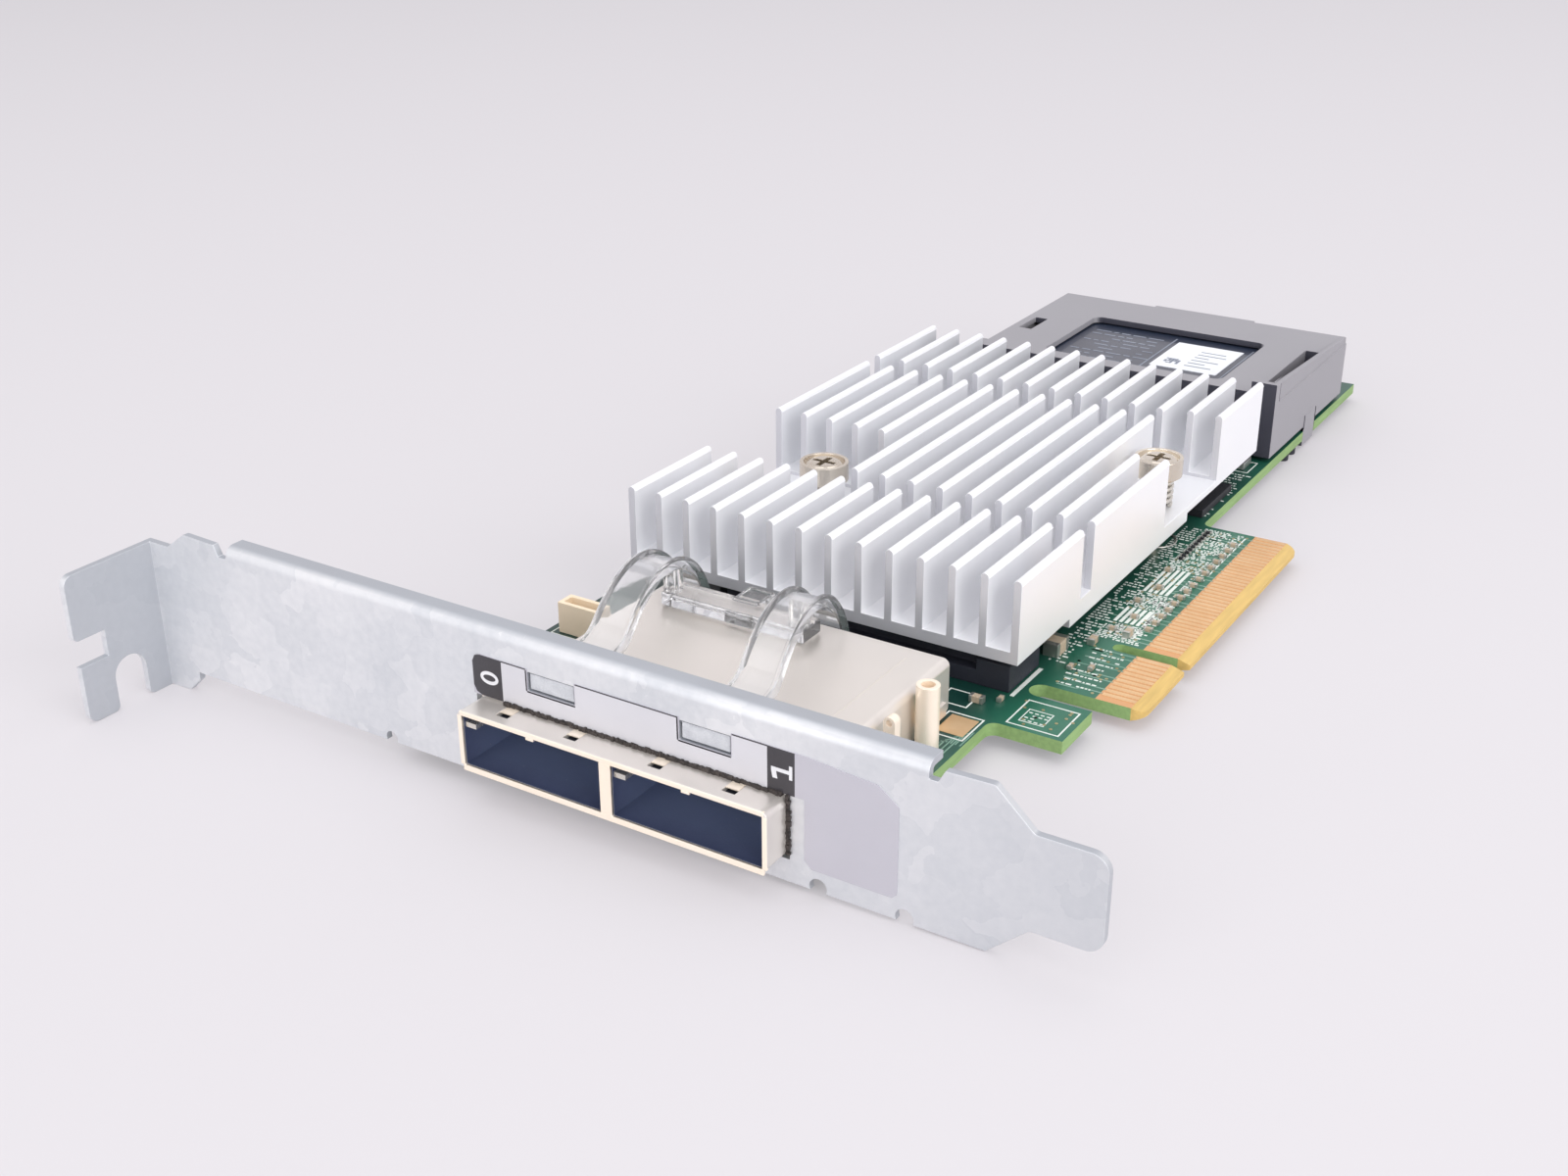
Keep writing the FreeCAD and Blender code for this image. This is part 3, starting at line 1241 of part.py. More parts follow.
def square_package(name):
    """A square package on the board, from its named place and size."""
    x, y = getattr(size, name + "_x"), getattr(size, name + "_y")
    half = getattr(size, name + "_side") / 2
    return box(name, (x - half, x + half), (y - half, y + half),
               (0, getattr(size, name + "_height")))


def flat_block(name, left, width, front, depth, height):
    """A block on the board, from its corner."""
    return box(name, (left, left + width), (front, front + depth), (0, height))


def make_small_parts():
    """Ceramic capacitors, resistors, inductors, regulators, flash chip and crystal."""
    capacitors = []
    for number, (_, _, kind, along) in enumerate(CERAMIC_CAPACITORS):
        x = getattr(size, "capacitor_%d_x" % number)
        y = getattr(size, "capacitor_%d_y" % number)
        capacitors.append(chip_part("capacitor", x, y, kind, along))
    row_x = size.connector_tip - size.coupling_inset
    for number in range(15):
        y = size.coupling_start + number * size.coupling_pitch
        capacitors.append(chip_part("capacitor", row_x, y, "small", "X"))
    keep("ceramic_capacitors", group("capacitor_group", capacitors))
    resistors = []
    for number in range(10):
        y = size.side_row_y + number * size.side_row_pitch
        resistors.append(chip_part("resistor", size.side_row_x, y, "resistor", "X"))
    for number in range(8):
        x = size.rear_row_x + number * size.rear_row_pitch
        resistors.append(chip_part("resistor", x, size.rear_row_y, "resistor", "Y"))
    for number in range(6):
        y = size.left_row_y + number * size.left_row_pitch
        resistors.append(chip_part("resistor", size.left_row_x, y, "resistor", "Y"))
    keep("chip_resistors", group("resistor_group", resistors))
    keep("power_inductors", group("inductor_group", [
        square_package("inductor_one"), square_package("inductor_two")]))
    keep("voltage_regulators", group("regulator_group", [
        square_package("regulator_one"), square_package("regulator_two")]))
    keep("flash_chip", flat_block("flash_chip_block", size.flash_left, size.flash_width,
                                  flash_front, size.flash_depth, size.flash_height))
    keep("clock_crystal", flat_block("crystal_block", size.crystal_left, size.crystal_width,
                                     crystal_front, size.crystal_depth,
                                     size.crystal_height))
    keep("ground_pads", group("ground_pad_group", [
        flat_block("ground_pad", cage_right + size.ground_pad_gap, size.ground_pad_width,
                   size.ground_pad_front, size.ground_pad_depth, size.contact_thick),
    ]))


make_board()
make_contacts("edge_contacts_top", as_size(0), size.contact_thick)
make_contacts("edge_contacts_bottom", board_under - size.contact_thick, board_under)
make_bracket()
make_ear_screws()
make_bracket_label()
make_cage()
make_cage_springs()
make_port_inserts()
make_light_pipe()
make_status_lamps()
make_guide_posts()
make_heat_sink()
make_sink_screws()
make_sink_springs()
make_sink_nuts()
make_controller()
make_memory()
make_header()
make_battery()
make_feet()
make_small_parts()
document.recompute()

faults = []
for thing in document.Objects:
    if "Invalid" in thing.State or "Error" in thing.State:
        faults.append("%s is in state %s" % (thing.Name, thing.State))
for label, thing in NODES:
    shape = thing.Shape
    if shape.isNull() or not shape.isValid() or not shape.Solids:
        faults.append("%s has no valid solid" % label)
if faults:
    raise RuntimeError("; ".join(faults))

os.makedirs("parts", exist_ok=True)
for label, thing in NODES:
    thing.Shape.exportStep("parts/%s.step" % label)
    print(label, len(thing.Shape.Solids), "solids", round(thing.Shape.Volume, 3), "mm3")
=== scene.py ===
import logging
import math
import random
from dataclasses import dataclass
from enum import Enum

import bmesh
import bpy
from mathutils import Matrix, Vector

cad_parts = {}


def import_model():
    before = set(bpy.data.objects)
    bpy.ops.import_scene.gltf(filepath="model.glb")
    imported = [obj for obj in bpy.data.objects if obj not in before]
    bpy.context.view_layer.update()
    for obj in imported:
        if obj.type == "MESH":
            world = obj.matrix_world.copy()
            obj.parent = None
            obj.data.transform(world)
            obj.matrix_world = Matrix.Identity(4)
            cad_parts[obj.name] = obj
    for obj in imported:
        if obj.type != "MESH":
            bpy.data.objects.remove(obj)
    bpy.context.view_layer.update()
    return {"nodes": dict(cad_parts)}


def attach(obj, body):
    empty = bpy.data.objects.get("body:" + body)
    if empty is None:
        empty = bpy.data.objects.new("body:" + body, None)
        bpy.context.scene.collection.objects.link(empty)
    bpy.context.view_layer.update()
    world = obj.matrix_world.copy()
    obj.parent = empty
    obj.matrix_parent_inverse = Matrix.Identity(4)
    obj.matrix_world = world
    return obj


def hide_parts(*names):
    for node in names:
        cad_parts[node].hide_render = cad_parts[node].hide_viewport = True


# Looks of the storage controller card. Lengths are millimetres until a mesh is finished, and
# the frame is the solids' own: X along the bracket, Y into the card, Z up from the board.

MM = 0.001
BODY = "root"
LOG = logging.getLogger("card")

Tone = tuple[int, int, int]
Colour = tuple[float, float, float]
Span = tuple[float, float]
Point = tuple[float, float, float]
Node = bpy.types.Node
Socket = bpy.types.NodeSocket


def linear(tone: Tone) -> Colour:
    """Turn an 8-bit display colour into the linear one that shaders take."""
    return tuple((value / 255.0) ** 2.2 for value in tone)


def dim(colour: Colour, share: float) -> Colour:
    """Return a linear colour at a share of its brightness."""
    return tuple(value * share for value in colour)


# Shader building


class Axis(Enum):
    """Direction along which a drawn or extruded finish runs."""

    X = (0.02, 1.0, 1.0)
    Y = (1.0, 0.02, 1.0)
    NONE = (1.0, 1.0, 1.0)


class Graph:
    """A small writer for shader node trees."""

    def __init__(self, tree: bpy.types.NodeTree) -> None:
        """Start on an empty tree."""
        self.tree = tree
        tree.nodes.clear()

    @classmethod
    def material(cls, name: str) -> tuple[bpy.types.Material, "Graph"]:
        """Start a material.

        Args:
            name: the material's name.

        Returns:
            The material and the graph of its node tree.
        """
        material = bpy.data.materials.new(name)
        material.use_nodes = True
        return material, cls(material.node_tree)

    def add(self, kind: str, **settings: object) -> Node:
        """Add a node.

        Args:
            kind: the node's Blender type.
            settings: attributes of the node, such as its operation.

        Returns:
            The new node.
        """
        node = self.tree.nodes.new(kind)
        for key, value in settings.items():
            setattr(node, key, value)
        return node

    def feed(self, node: Node, **inputs: object) -> Node:
        """Set or link a node's inputs.

        Args:
            node: the node to feed.
            inputs: socket names with underscores for spaces, or i0, i1 for positions.

        Returns:
            The same node.
        """
        for key, value in inputs.items():
            if key[0] == "i" and key[1:].isdigit():
                socket = node.inputs[int(key[1:])]
            else:
                socket = node.inputs[key.replace("_", " ")]
            if isinstance(value, Socket):
                self.tree.links.new(value, socket)
            elif isinstance(value, tuple) and len(value) == 3 and socket.type == "RGBA":
                socket.default_value = (*value, 1.0)
            else:
                socket.default_value = value
        return node

    def mix(self, share: object, first: object, second: object) -> Socket:
        """Blend two colours by a share from 0 to 1."""
        node = self.add("ShaderNodeMix", data_type="RGBA")
        return self.feed(node, i0=share, i6=first, i7=second).outputs[2]

    def scale(self, value: object, low: object, high: object, start: float = 0.0,
              end: float = 1.0) -> Socket:
        """Map a value from one range to another, clamped."""
        node = self.add("ShaderNodeMapRange")
        return self.feed(node, Value=value, From_Min=low, From_Max=high, To_Min=start,
                         To_Max=end).outputs[0]

    def math(self, operation: str, first: object, second: object = 0.0) -> Socket:
        """Do one sum on two values."""
        node = self.add("ShaderNodeMath", operation=operation)
        return self.feed(node, i0=first, i1=second).outputs[0]

    def where(self) -> Socket:
        """Read the place on the object."""
        return self.add("ShaderNodeTexCoord").outputs["Object"]

    def split(self, vector: Socket) -> list[Socket]:
        """Split a vector into its three values."""
        return list(self.feed(self.add("ShaderNodeSeparateXYZ"), Vector=vector).outputs)

    def facing(self, normal: str = "True Normal") -> list[Socket]:
        """Read the three values of the direction that the surface faces."""
        return self.split(self.add("ShaderNodeNewGeometry").outputs[normal])

    def bump(self, height: Socket, depth: float, strength: float) -> Socket:
        """Raise the surface by a mask, to a depth in millimetres."""
        node = self.add("ShaderNodeBump")
        return self.feed(node, Strength=strength, Distance=depth * MM, Height=height).outputs[0]

    def direct(self) -> Socket:
        """Pick the rays that show a surface rather than light another by it."""
        rays = self.add("ShaderNodeLightPath").outputs
        return self.math("MAXIMUM", rays["Is Camera Ray"],
                         self.math("MAXIMUM", rays["Is Glossy Ray"], rays["Is Transmission Ray"]))

    def blend(self, share: Socket, first: Node, second: Node) -> Node:
        """Blend two shaders by a share from 0 to 1."""
        node = self.add("ShaderNodeMixShader")
        return self.feed(node, i0=share, i1=first.outputs[0], i2=second.outputs[0])

    def close(self, shader: Node, output: str = "ShaderNodeOutputMaterial") -> None:
        """Lead a shader to the tree's output."""
        self.feed(self.add(output), Surface=shader.outputs[0])

    def surface(self, **inputs: object) -> None:
        """Close the material with a surface made from the given inputs."""
        self.close(self.feed(self.add("ShaderNodeBsdfPrincipled"), **inputs))


class Effects:
    """Shader effects that several finishes share, each one node group."""

    def __init__(self) -> None:
        """Build every group once."""
        self.patches = self._patches()
        self.lines = self._lines()
        self.specks = self._specks()

    @staticmethod
    def _start(name: str, inputs: dict[str, object]) -> tuple[Graph, Node, Node]:
        """Open a group with named inputs and one Mask output.

        Args:
            name: the group's name.
            inputs: input names with their defaults, a number or a vector.

        Returns:
            The graph, its input node and its output node.
        """
        tree = bpy.data.node_groups.new(name, "ShaderNodeTree")
        graph = Graph(tree)
        for label, default in inputs.items():
            kind = "NodeSocketVector" if isinstance(default, tuple) else "NodeSocketFloat"
            socket = tree.interface.new_socket(name=label, in_out="INPUT", socket_type=kind)
            socket.default_value = default
        tree.interface.new_socket(name="Mask", in_out="OUTPUT", socket_type="NodeSocketFloat")
        return graph, graph.add("NodeGroupInput"), graph.add("NodeGroupOutput")

    def _patches(self) -> bpy.types.NodeTree:
        """Soft blotches, as on handled metal or moulded plastic.

        Returns:
            The node group.
        """
        graph, given, result = self._start("soft_patches", {"Scale": 200.0, "Hardness": 0.2})
        noise = graph.add("ShaderNodeTexNoise")
        graph.feed(noise, Vector=graph.where(), Scale=given.outputs["Scale"], Detail=4.0)
        low = graph.math("MULTIPLY", given.outputs["Hardness"], 0.5)
        high = graph.math("SUBTRACT", 1.0, low)
        graph.feed(result, Mask=graph.scale(noise.outputs[0], low, high))
        return graph.tree

    def _lines(self) -> bpy.types.NodeTree:
        """Fine lines left by drawing or extruding, stretched along one axis.

        Returns:
            The node group.
        """
        graph, given, result = self._start(
            "drawn_lines", {"Scale": 3000.0, "Stretch": (1.0, 1.0, 1.0)})
        squeeze = graph.add("ShaderNodeVectorMath", operation="MULTIPLY")
        graph.feed(squeeze, i0=graph.where(), i1=given.outputs["Stretch"])
        noise = graph.add("ShaderNodeTexNoise")
        graph.feed(noise, Vector=squeeze.outputs[0], Scale=given.outputs["Scale"], Detail=2.0)
        graph.feed(result, Mask=graph.scale(noise.outputs[0], 0.3, 0.7))
        return graph.tree

    def _specks(self) -> bpy.types.NodeTree:
        """Sparse specks of dust.

        Returns:
            The node group.
        """
        graph, given, result = self._start("dust_specks", {"Scale": 700.0, "Size": 0.1})
        cells = graph.add("ShaderNodeTexVoronoi")
        graph.feed(cells, Vector=graph.where(), Scale=given.outputs["Scale"])
        spot = graph.math("LESS_THAN", cells.outputs["Distance"], given.outputs["Size"])
        chosen = graph.add("ShaderNodeSeparateColor")
        graph.feed(chosen, Color=cells.outputs["Color"])
        few = graph.math("GREATER_THAN", chosen.outputs[0], 0.8)
        graph.feed(result, Mask=graph.math("MULTIPLY", spot, few))
        return graph.tree

    @staticmethod
    def use(graph: Graph, group: bpy.types.NodeTree, **inputs: object) -> Socket:
        """Place a group in a material's graph and return its mask."""
        node = graph.add("ShaderNodeGroup", node_tree=group)
        return graph.feed(node, **inputs).outputs["Mask"]


@dataclass(frozen=True)
class Finish:
    """A metal, plastic or ceramic surface with patches, grain and dust.

    A front colour is painted shade for the faces towards the bracket's side, and a deep one is
    painted fill light for the inside of a port, away from its mouth.
    """

    DUST = (0.7, 0.7, 0.72)
    DUST_SCALE = 900.0
    PATCH_HARDNESS = 0.55
    PATCH_SHARE = 0.6
    GRAIN_STRENGTH = 0.5
    FILL_LIGHT_RUN = (-3.2 * MM, 9.0 * MM)
    FACING_SHADED_FRONT = (-0.6, -0.9)

    name: str
    colour: Tone
    shade: Tone
    roughness: Span = (0.4, 0.5)
    metallic: float = 0.0
    patch_scale: float = 120.0
    grain_scale: float = 5000.0
    grain_axis: Axis = Axis.NONE
    grain_depth: float = 0.01
    dust: float = 0.0
    coat: float = 0.0
    front: Tone | None = None
    deep: Tone | None = None

    def build(self, effects: Effects) -> bpy.types.Material:
        """Make the material.

        Args:
            effects: the shared node groups.

        Returns:
            The material.
        """
        material, graph = Graph.material(self.name)
        patches = effects.use(graph, effects.patches, Scale=self.patch_scale,
                              Hardness=self.PATCH_HARDNESS)
        grain = effects.use(graph, effects.lines, Scale=self.grain_scale,
                            Stretch=self.grain_axis.value)
        colour = graph.mix(patches, linear(self.colour), linear(self.shade))
        # Painted fill light: the deep colour takes over away from the port's mouth, against the
        # shade inside.
        if self.deep:
            inward = graph.scale(graph.split(graph.where())[1], *self.FILL_LIGHT_RUN)
            colour = graph.mix(inward, colour, linear(self.deep))
        # Painted shade: faces towards the bracket's side take the darker front colour.
        if self.front:
            front_shade_share = graph.scale(graph.facing()[1], *self.FACING_SHADED_FRONT)
            colour = graph.mix(front_shade_share, colour, linear(self.front))
        if self.dust:
            specks = effects.use(graph, effects.specks, Scale=self.DUST_SCALE,
                                 Size=self.dust)
            colour = graph.mix(specks, colour, self.DUST)
        uneven = graph.math("ADD", graph.math("MULTIPLY", patches, self.PATCH_SHARE),
                            graph.math("MULTIPLY", grain, 1.0 - self.PATCH_SHARE))
        graph.surface(Base_Color=colour, Metallic=self.metallic, Coat_Weight=self.coat,
                      Roughness=graph.scale(uneven, 0.0, 1.0, *self.roughness),
                      Normal=graph.bump(grain, self.grain_depth, self.GRAIN_STRENGTH))
        return material


@dataclass(frozen=True)
class GalvanisedFinish:
    """Zinc-coated sheet: spangle, clouds and pits, with painted shade and reflection on top, on the
    tab and at the tongue.
    """

    name: str
    colour: Tone
    shade: Tone
    painted_shade: Tone
    spangle_scale: float = 240.0
    warp_scale: float = 260.0
    warp: float = 0.006
    cloud_scale: float = 45.0
    pit_scale: float = 900.0
    pit_depth: float = 0.008
    shade_facing_up: Span = (0.72, 0.98)
    shade_facing_x: Span = (0.3, 0.98)
    tongue: Span = (80.0 * MM, 118.0 * MM)
    roughness: Span = (0.38, 0.6)

    def build(self, effects: Effects) -> bpy.types.Material:
        """Make the material from the shared effects and its own spangle.

        Args:
            effects: the shared node groups.

        Returns:
            The material.
        """
        material, graph = Graph.material(self.name)
        where = graph.where()
        warp = graph.feed(graph.add("ShaderNodeTexNoise"), Vector=where, Scale=self.warp_scale,
                          Detail=3.0)
        shift = graph.add("ShaderNodeVectorMath", operation="MULTIPLY_ADD")
        graph.feed(shift, i0=warp.outputs["Color"], i1=(self.warp,) * 3, i2=where)
        cells = graph.add("ShaderNodeTexVoronoi")
        graph.feed(cells, Vector=shift.outputs[0], Scale=self.spangle_scale)
        spangle = graph.feed(graph.add("ShaderNodeSeparateColor"), Color=cells.outputs["Color"])
        clouds = effects.use(graph, effects.patches, Scale=self.cloud_scale, Hardness=0.2)
        pits = effects.use(graph, effects.patches, Scale=self.pit_scale, Hardness=0.4)
        uneven = graph.math("ADD", graph.math("MULTIPLY", spangle.outputs[0], 0.2),
                            graph.math("MULTIPLY", clouds, 0.6))
        uneven = graph.math("ADD", uneven, graph.math("MULTIPLY", pits, 0.2))
        uneven = graph.scale(uneven, 0.25, 0.75)
        # Painted shade and reflection: faces towards the top and towards +X, and the tongue, take
        # the darker zinc tone.
        facing = graph.facing("Normal")
        painted_shade = graph.math("MAXIMUM", graph.scale(facing[2], *self.shade_facing_up),
                          graph.scale(facing[0], *self.shade_facing_x, 0.0, 0.8))
        painted_shade = graph.math("MAXIMUM", painted_shade,
                          graph.scale(graph.split(where)[0], *self.tongue, 0.0, 0.5))
        sheet = graph.mix(uneven, linear(self.colour), linear(self.shade))
        colour = graph.mix(painted_shade, sheet, linear(self.painted_shade))
        graph.surface(Base_Color=colour, Metallic=0.75,
                      Roughness=graph.scale(uneven, 0.0, 1.0, *self.roughness),
                      Normal=graph.bump(pits, self.pit_depth, 0.2))
        return material


@dataclass(frozen=True)
class BoardFinish:
    """Solder mask over glass laminate, with bare edges and a bare bevelled connector tip."""

    name: str
    mask: Tone
    mask_light: Tone
    edge: Tone
    tip: Tone
    gap: Tone
    tip_start: float = 104.05 * MM
    gap_start: float = 99.75 * MM
    connector_start: float = 44.9 * MM
    lighter: Span = (88.0 * MM, 96.0 * MM)
    edge_roughness: float = 0.6
    mask_roughness: float = 0.32
    weave_depth: float = 0.01

    def build(self, effects: Effects) -> bpy.types.Material:
        """Make the material; its zones come from the surface's place and direction.

        Args:
            effects: the shared node groups.

        Returns:
            The material.
        """
        material, graph = Graph.material(self.name)
        place = graph.split(graph.where())
        flat = graph.math("GREATER_THAN", graph.math("ABSOLUTE", graph.facing()[2]), 0.5)
        patches = effects.use(graph, effects.patches, Scale=90.0, Hardness=0.5)
        weave = effects.use(graph, effects.lines, Scale=1800.0, Stretch=(1.0, 0.1, 1.0))
        outward = graph.scale(place[0], *self.lighter)
        share = graph.math("MULTIPLY", outward, graph.scale(patches, 0.0, 1.0, 0.6, 1.0))
        top = graph.mix(share, linear(self.mask), linear(self.mask_light))
        copper = graph.math("GREATER_THAN", place[0], self.gap_start)
        beside = graph.math("GREATER_THAN", place[1], self.connector_start)
        top = graph.mix(graph.math("MULTIPLY", copper, beside), top, linear(self.gap))
        side = graph.mix(weave, linear(self.edge), dim(linear(self.edge), 0.8))
        colour = graph.mix(flat, side, top)
        bare = graph.math("MULTIPLY", beside,
                          graph.math("GREATER_THAN", place[0], self.tip_start))
        tip = graph.mix(weave, linear(self.tip), dim(linear(self.tip), 0.82))
        colour = graph.mix(bare, colour, tip)
        graph.surface(Base_Color=colour, Normal=graph.bump(weave, self.weave_depth, 0.3),
                      Roughness=graph.scale(flat, 0.0, 1.0, self.edge_roughness,
                                            self.mask_roughness))
        return material


@dataclass(frozen=True)
class ClearFinish:
    """Clear moulded plastic with faint flow marks, clearer away from the bracket."""

    name: str
    colour: Colour = (0.97, 0.975, 0.98)
    refraction: float = 1.49
    flow_scale: float = 500.0
    flow_depth: float = 0.03
    roughness: Span = (0.02, 0.08)
    run: Span = (6.0 * MM, 20.0 * MM)
    clearness: Span = (0.8, 0.95)

    def build(self, effects: Effects) -> bpy.types.Material:
        """Make the material.

        Args:
            effects: the shared node groups.

        Returns:
            The material.
        """
        material, graph = Graph.material(self.name)
        flow = effects.use(graph, effects.patches, Scale=self.flow_scale, Hardness=0.3)
        inward = graph.split(graph.where())[1]
        graph.surface(Base_Color=self.colour, Metallic=0.0, IOR=self.refraction,
                      Transmission_Weight=graph.scale(inward, *self.run, *self.clearness),
                      Roughness=graph.scale(flow, 0.0, 1.0, *self.roughness),
                      Normal=graph.bump(flow, self.flow_depth, 0.25))
        return material


class Palette:
    """Every finish of the card, built when it is first asked for."""

    FINISHES = {
        # The zinc's third colour is painted shade and reflection for the top, the tab and the
        # tongue.
        "zinc": GalvanisedFinish("galvanised_sheet", (244, 245, 246), (212, 215, 219),
                                 (180, 184, 190)),
        "board": BoardFinish(
            "solder_mask", (22, 58, 52), (42, 108, 84), (140, 172, 110),
            (210, 176, 104), (204, 150, 102)),
        "clear": ClearFinish("clear_plastic"),
        "trace": Finish("copper_trace_under_mask", (136, 168, 152), (96, 140, 122),
                        (0.3, 0.4), coat=0.3),
        "print": Finish("white_board_print", (232, 236, 230), (210, 216, 210),
                        (0.6, 0.75)),
        "gold": Finish("gold_plating", (240, 204, 157), (229, 187, 138), (0.3, 0.42),
                       metallic=0.75, grain_axis=Axis.X, patch_scale=300.0, dust=0.03),
        "via": Finish("tinned_via", (196, 186, 150), (150, 140, 100), (0.3, 0.5),
                      metallic=0.7),
        # The front colour is painted shade on the fin ends towards the bracket.
        "aluminium": Finish("extruded_aluminium", (247, 247, 249), (242, 243, 246),
                            (0.38, 0.44), metallic=0.45, front=(206, 206, 212),
                            grain_axis=Axis.Y, grain_scale=2600.0, grain_depth=0.003,
                            patch_scale=40.0),
        "nickel": Finish("cage_nickel", (238, 232, 225), (230, 224, 217), (0.3, 0.36),
                         metallic=0.7, grain_axis=Axis.X, grain_depth=0.001, patch_scale=40.0),
        "rim": Finish("bright_rim", (255, 243, 226), (250, 234, 214), (0.3, 0.4),
                      metallic=0.4),
        "screw": Finish("screw_nickel", (238, 230, 216), (204, 194, 180), (0.16, 0.3),
                        metallic=0.92),
        "spring": Finish("spring_steel", (232, 228, 220), (210, 206, 198), (0.2, 0.32),
                         metallic=0.8),
        # The deep colour is painted fill light, brighter further into the bays.
        "liner": Finish("bay_liner", (58, 66, 94), (48, 56, 82), (0.6, 0.75),
                        dust=0.03, patch_scale=200.0, deep=(150, 166, 205)),
        "black": Finish("black_moulding", (46, 48, 58), (34, 36, 44), (0.5, 0.62),
                        grain_depth=0.02, dust=0.03),
        "chip": Finish("chip_epoxy", (44, 45, 50), (36, 36, 40), (0.5, 0.62)),
        "pad": Finish("thermal_putty", (176, 182, 190), (160, 166, 176), (0.7, 0.8)),
        "cream": Finish("cream_moulding", (250, 230, 202), (243, 221, 190),
                        (0.45, 0.55), grain_depth=0.02),
        # The front colour is painted shade on the cover's faces towards the bracket.
        "cover": Finish("cover_moulding", (150, 148, 153), (146, 144, 149),
                        (0.5, 0.54), grain_depth=0.0015, grain_scale=4000.0, patch_scale=40.0,
                        front=(62, 62, 72)),
        "film": Finish("pack_film", (50, 58, 74), (40, 46, 62), (0.25, 0.38),
                       coat=0.4, dust=0.04),
        "faint": Finish("faint_print", (140, 146, 158), (118, 124, 138), (0.4, 0.5)),
        "paper": Finish("bare_label", (236, 238, 242), (226, 228, 233), (0.55, 0.65)),
        "label": Finish("label_film", (186, 184, 192), (182, 180, 188), (0.34, 0.44),
                        metallic=0.1),
        "label_light": Finish("label_light_field", (207, 206, 211), (202, 201, 206),
                              (0.34, 0.44), metallic=0.1),
        "charcoal": Finish("charcoal_field", (66, 64, 68), (56, 54, 58), (0.4, 0.5)),
        "frosted": Finish("frosted_lens", (205, 207, 211), (172, 175, 181),
                          (0.2, 0.35), coat=0.4, patch_scale=700.0),
        "digit": Finish("digit_print", (226, 226, 228), (216, 216, 219), (0.5, 0.6)),
        "gasket": Finish("gasket_weave", (78, 71, 68), (38, 35, 35), (0.7, 0.85),
                         patch_scale=1500.0, grain_depth=0.08, grain_scale=1600.0),
        "ceramic": Finish("capacitor_ceramic", (184, 168, 146), (168, 150, 128),
                          (0.5, 0.6)),
        "tin": Finish("tinned_end", (214, 212, 206), (186, 184, 178), (0.25, 0.4),
                      metallic=0.9),
        "ferrite": Finish("inductor_ferrite", (92, 92, 94), (78, 78, 80),
                          (0.5, 0.65)),
        "can": Finish("crystal_can", (206, 206, 204), (190, 190, 188), (0.25, 0.38),
                      metallic=0.9),
        "lens": Finish("lamp_lens", (236, 236, 226), (226, 224, 204), (0.2, 0.3),
                       coat=0.5),
    }

    def __init__(self) -> None:
        """Start with the shared effects and no material."""
        self.effects = Effects()
        self.made: dict[str, bpy.types.Material] = {}

    def get(self, name: str) -> bpy.types.Material:
        """Return the material of a finish, made once.

        Args:
            name: the finish's name.

        Returns:
            The material.
        """
        if name not in self.made:
            self.made[name] = self.FINISHES[name].build(self.effects)
        return self.made[name]


# Mesh building


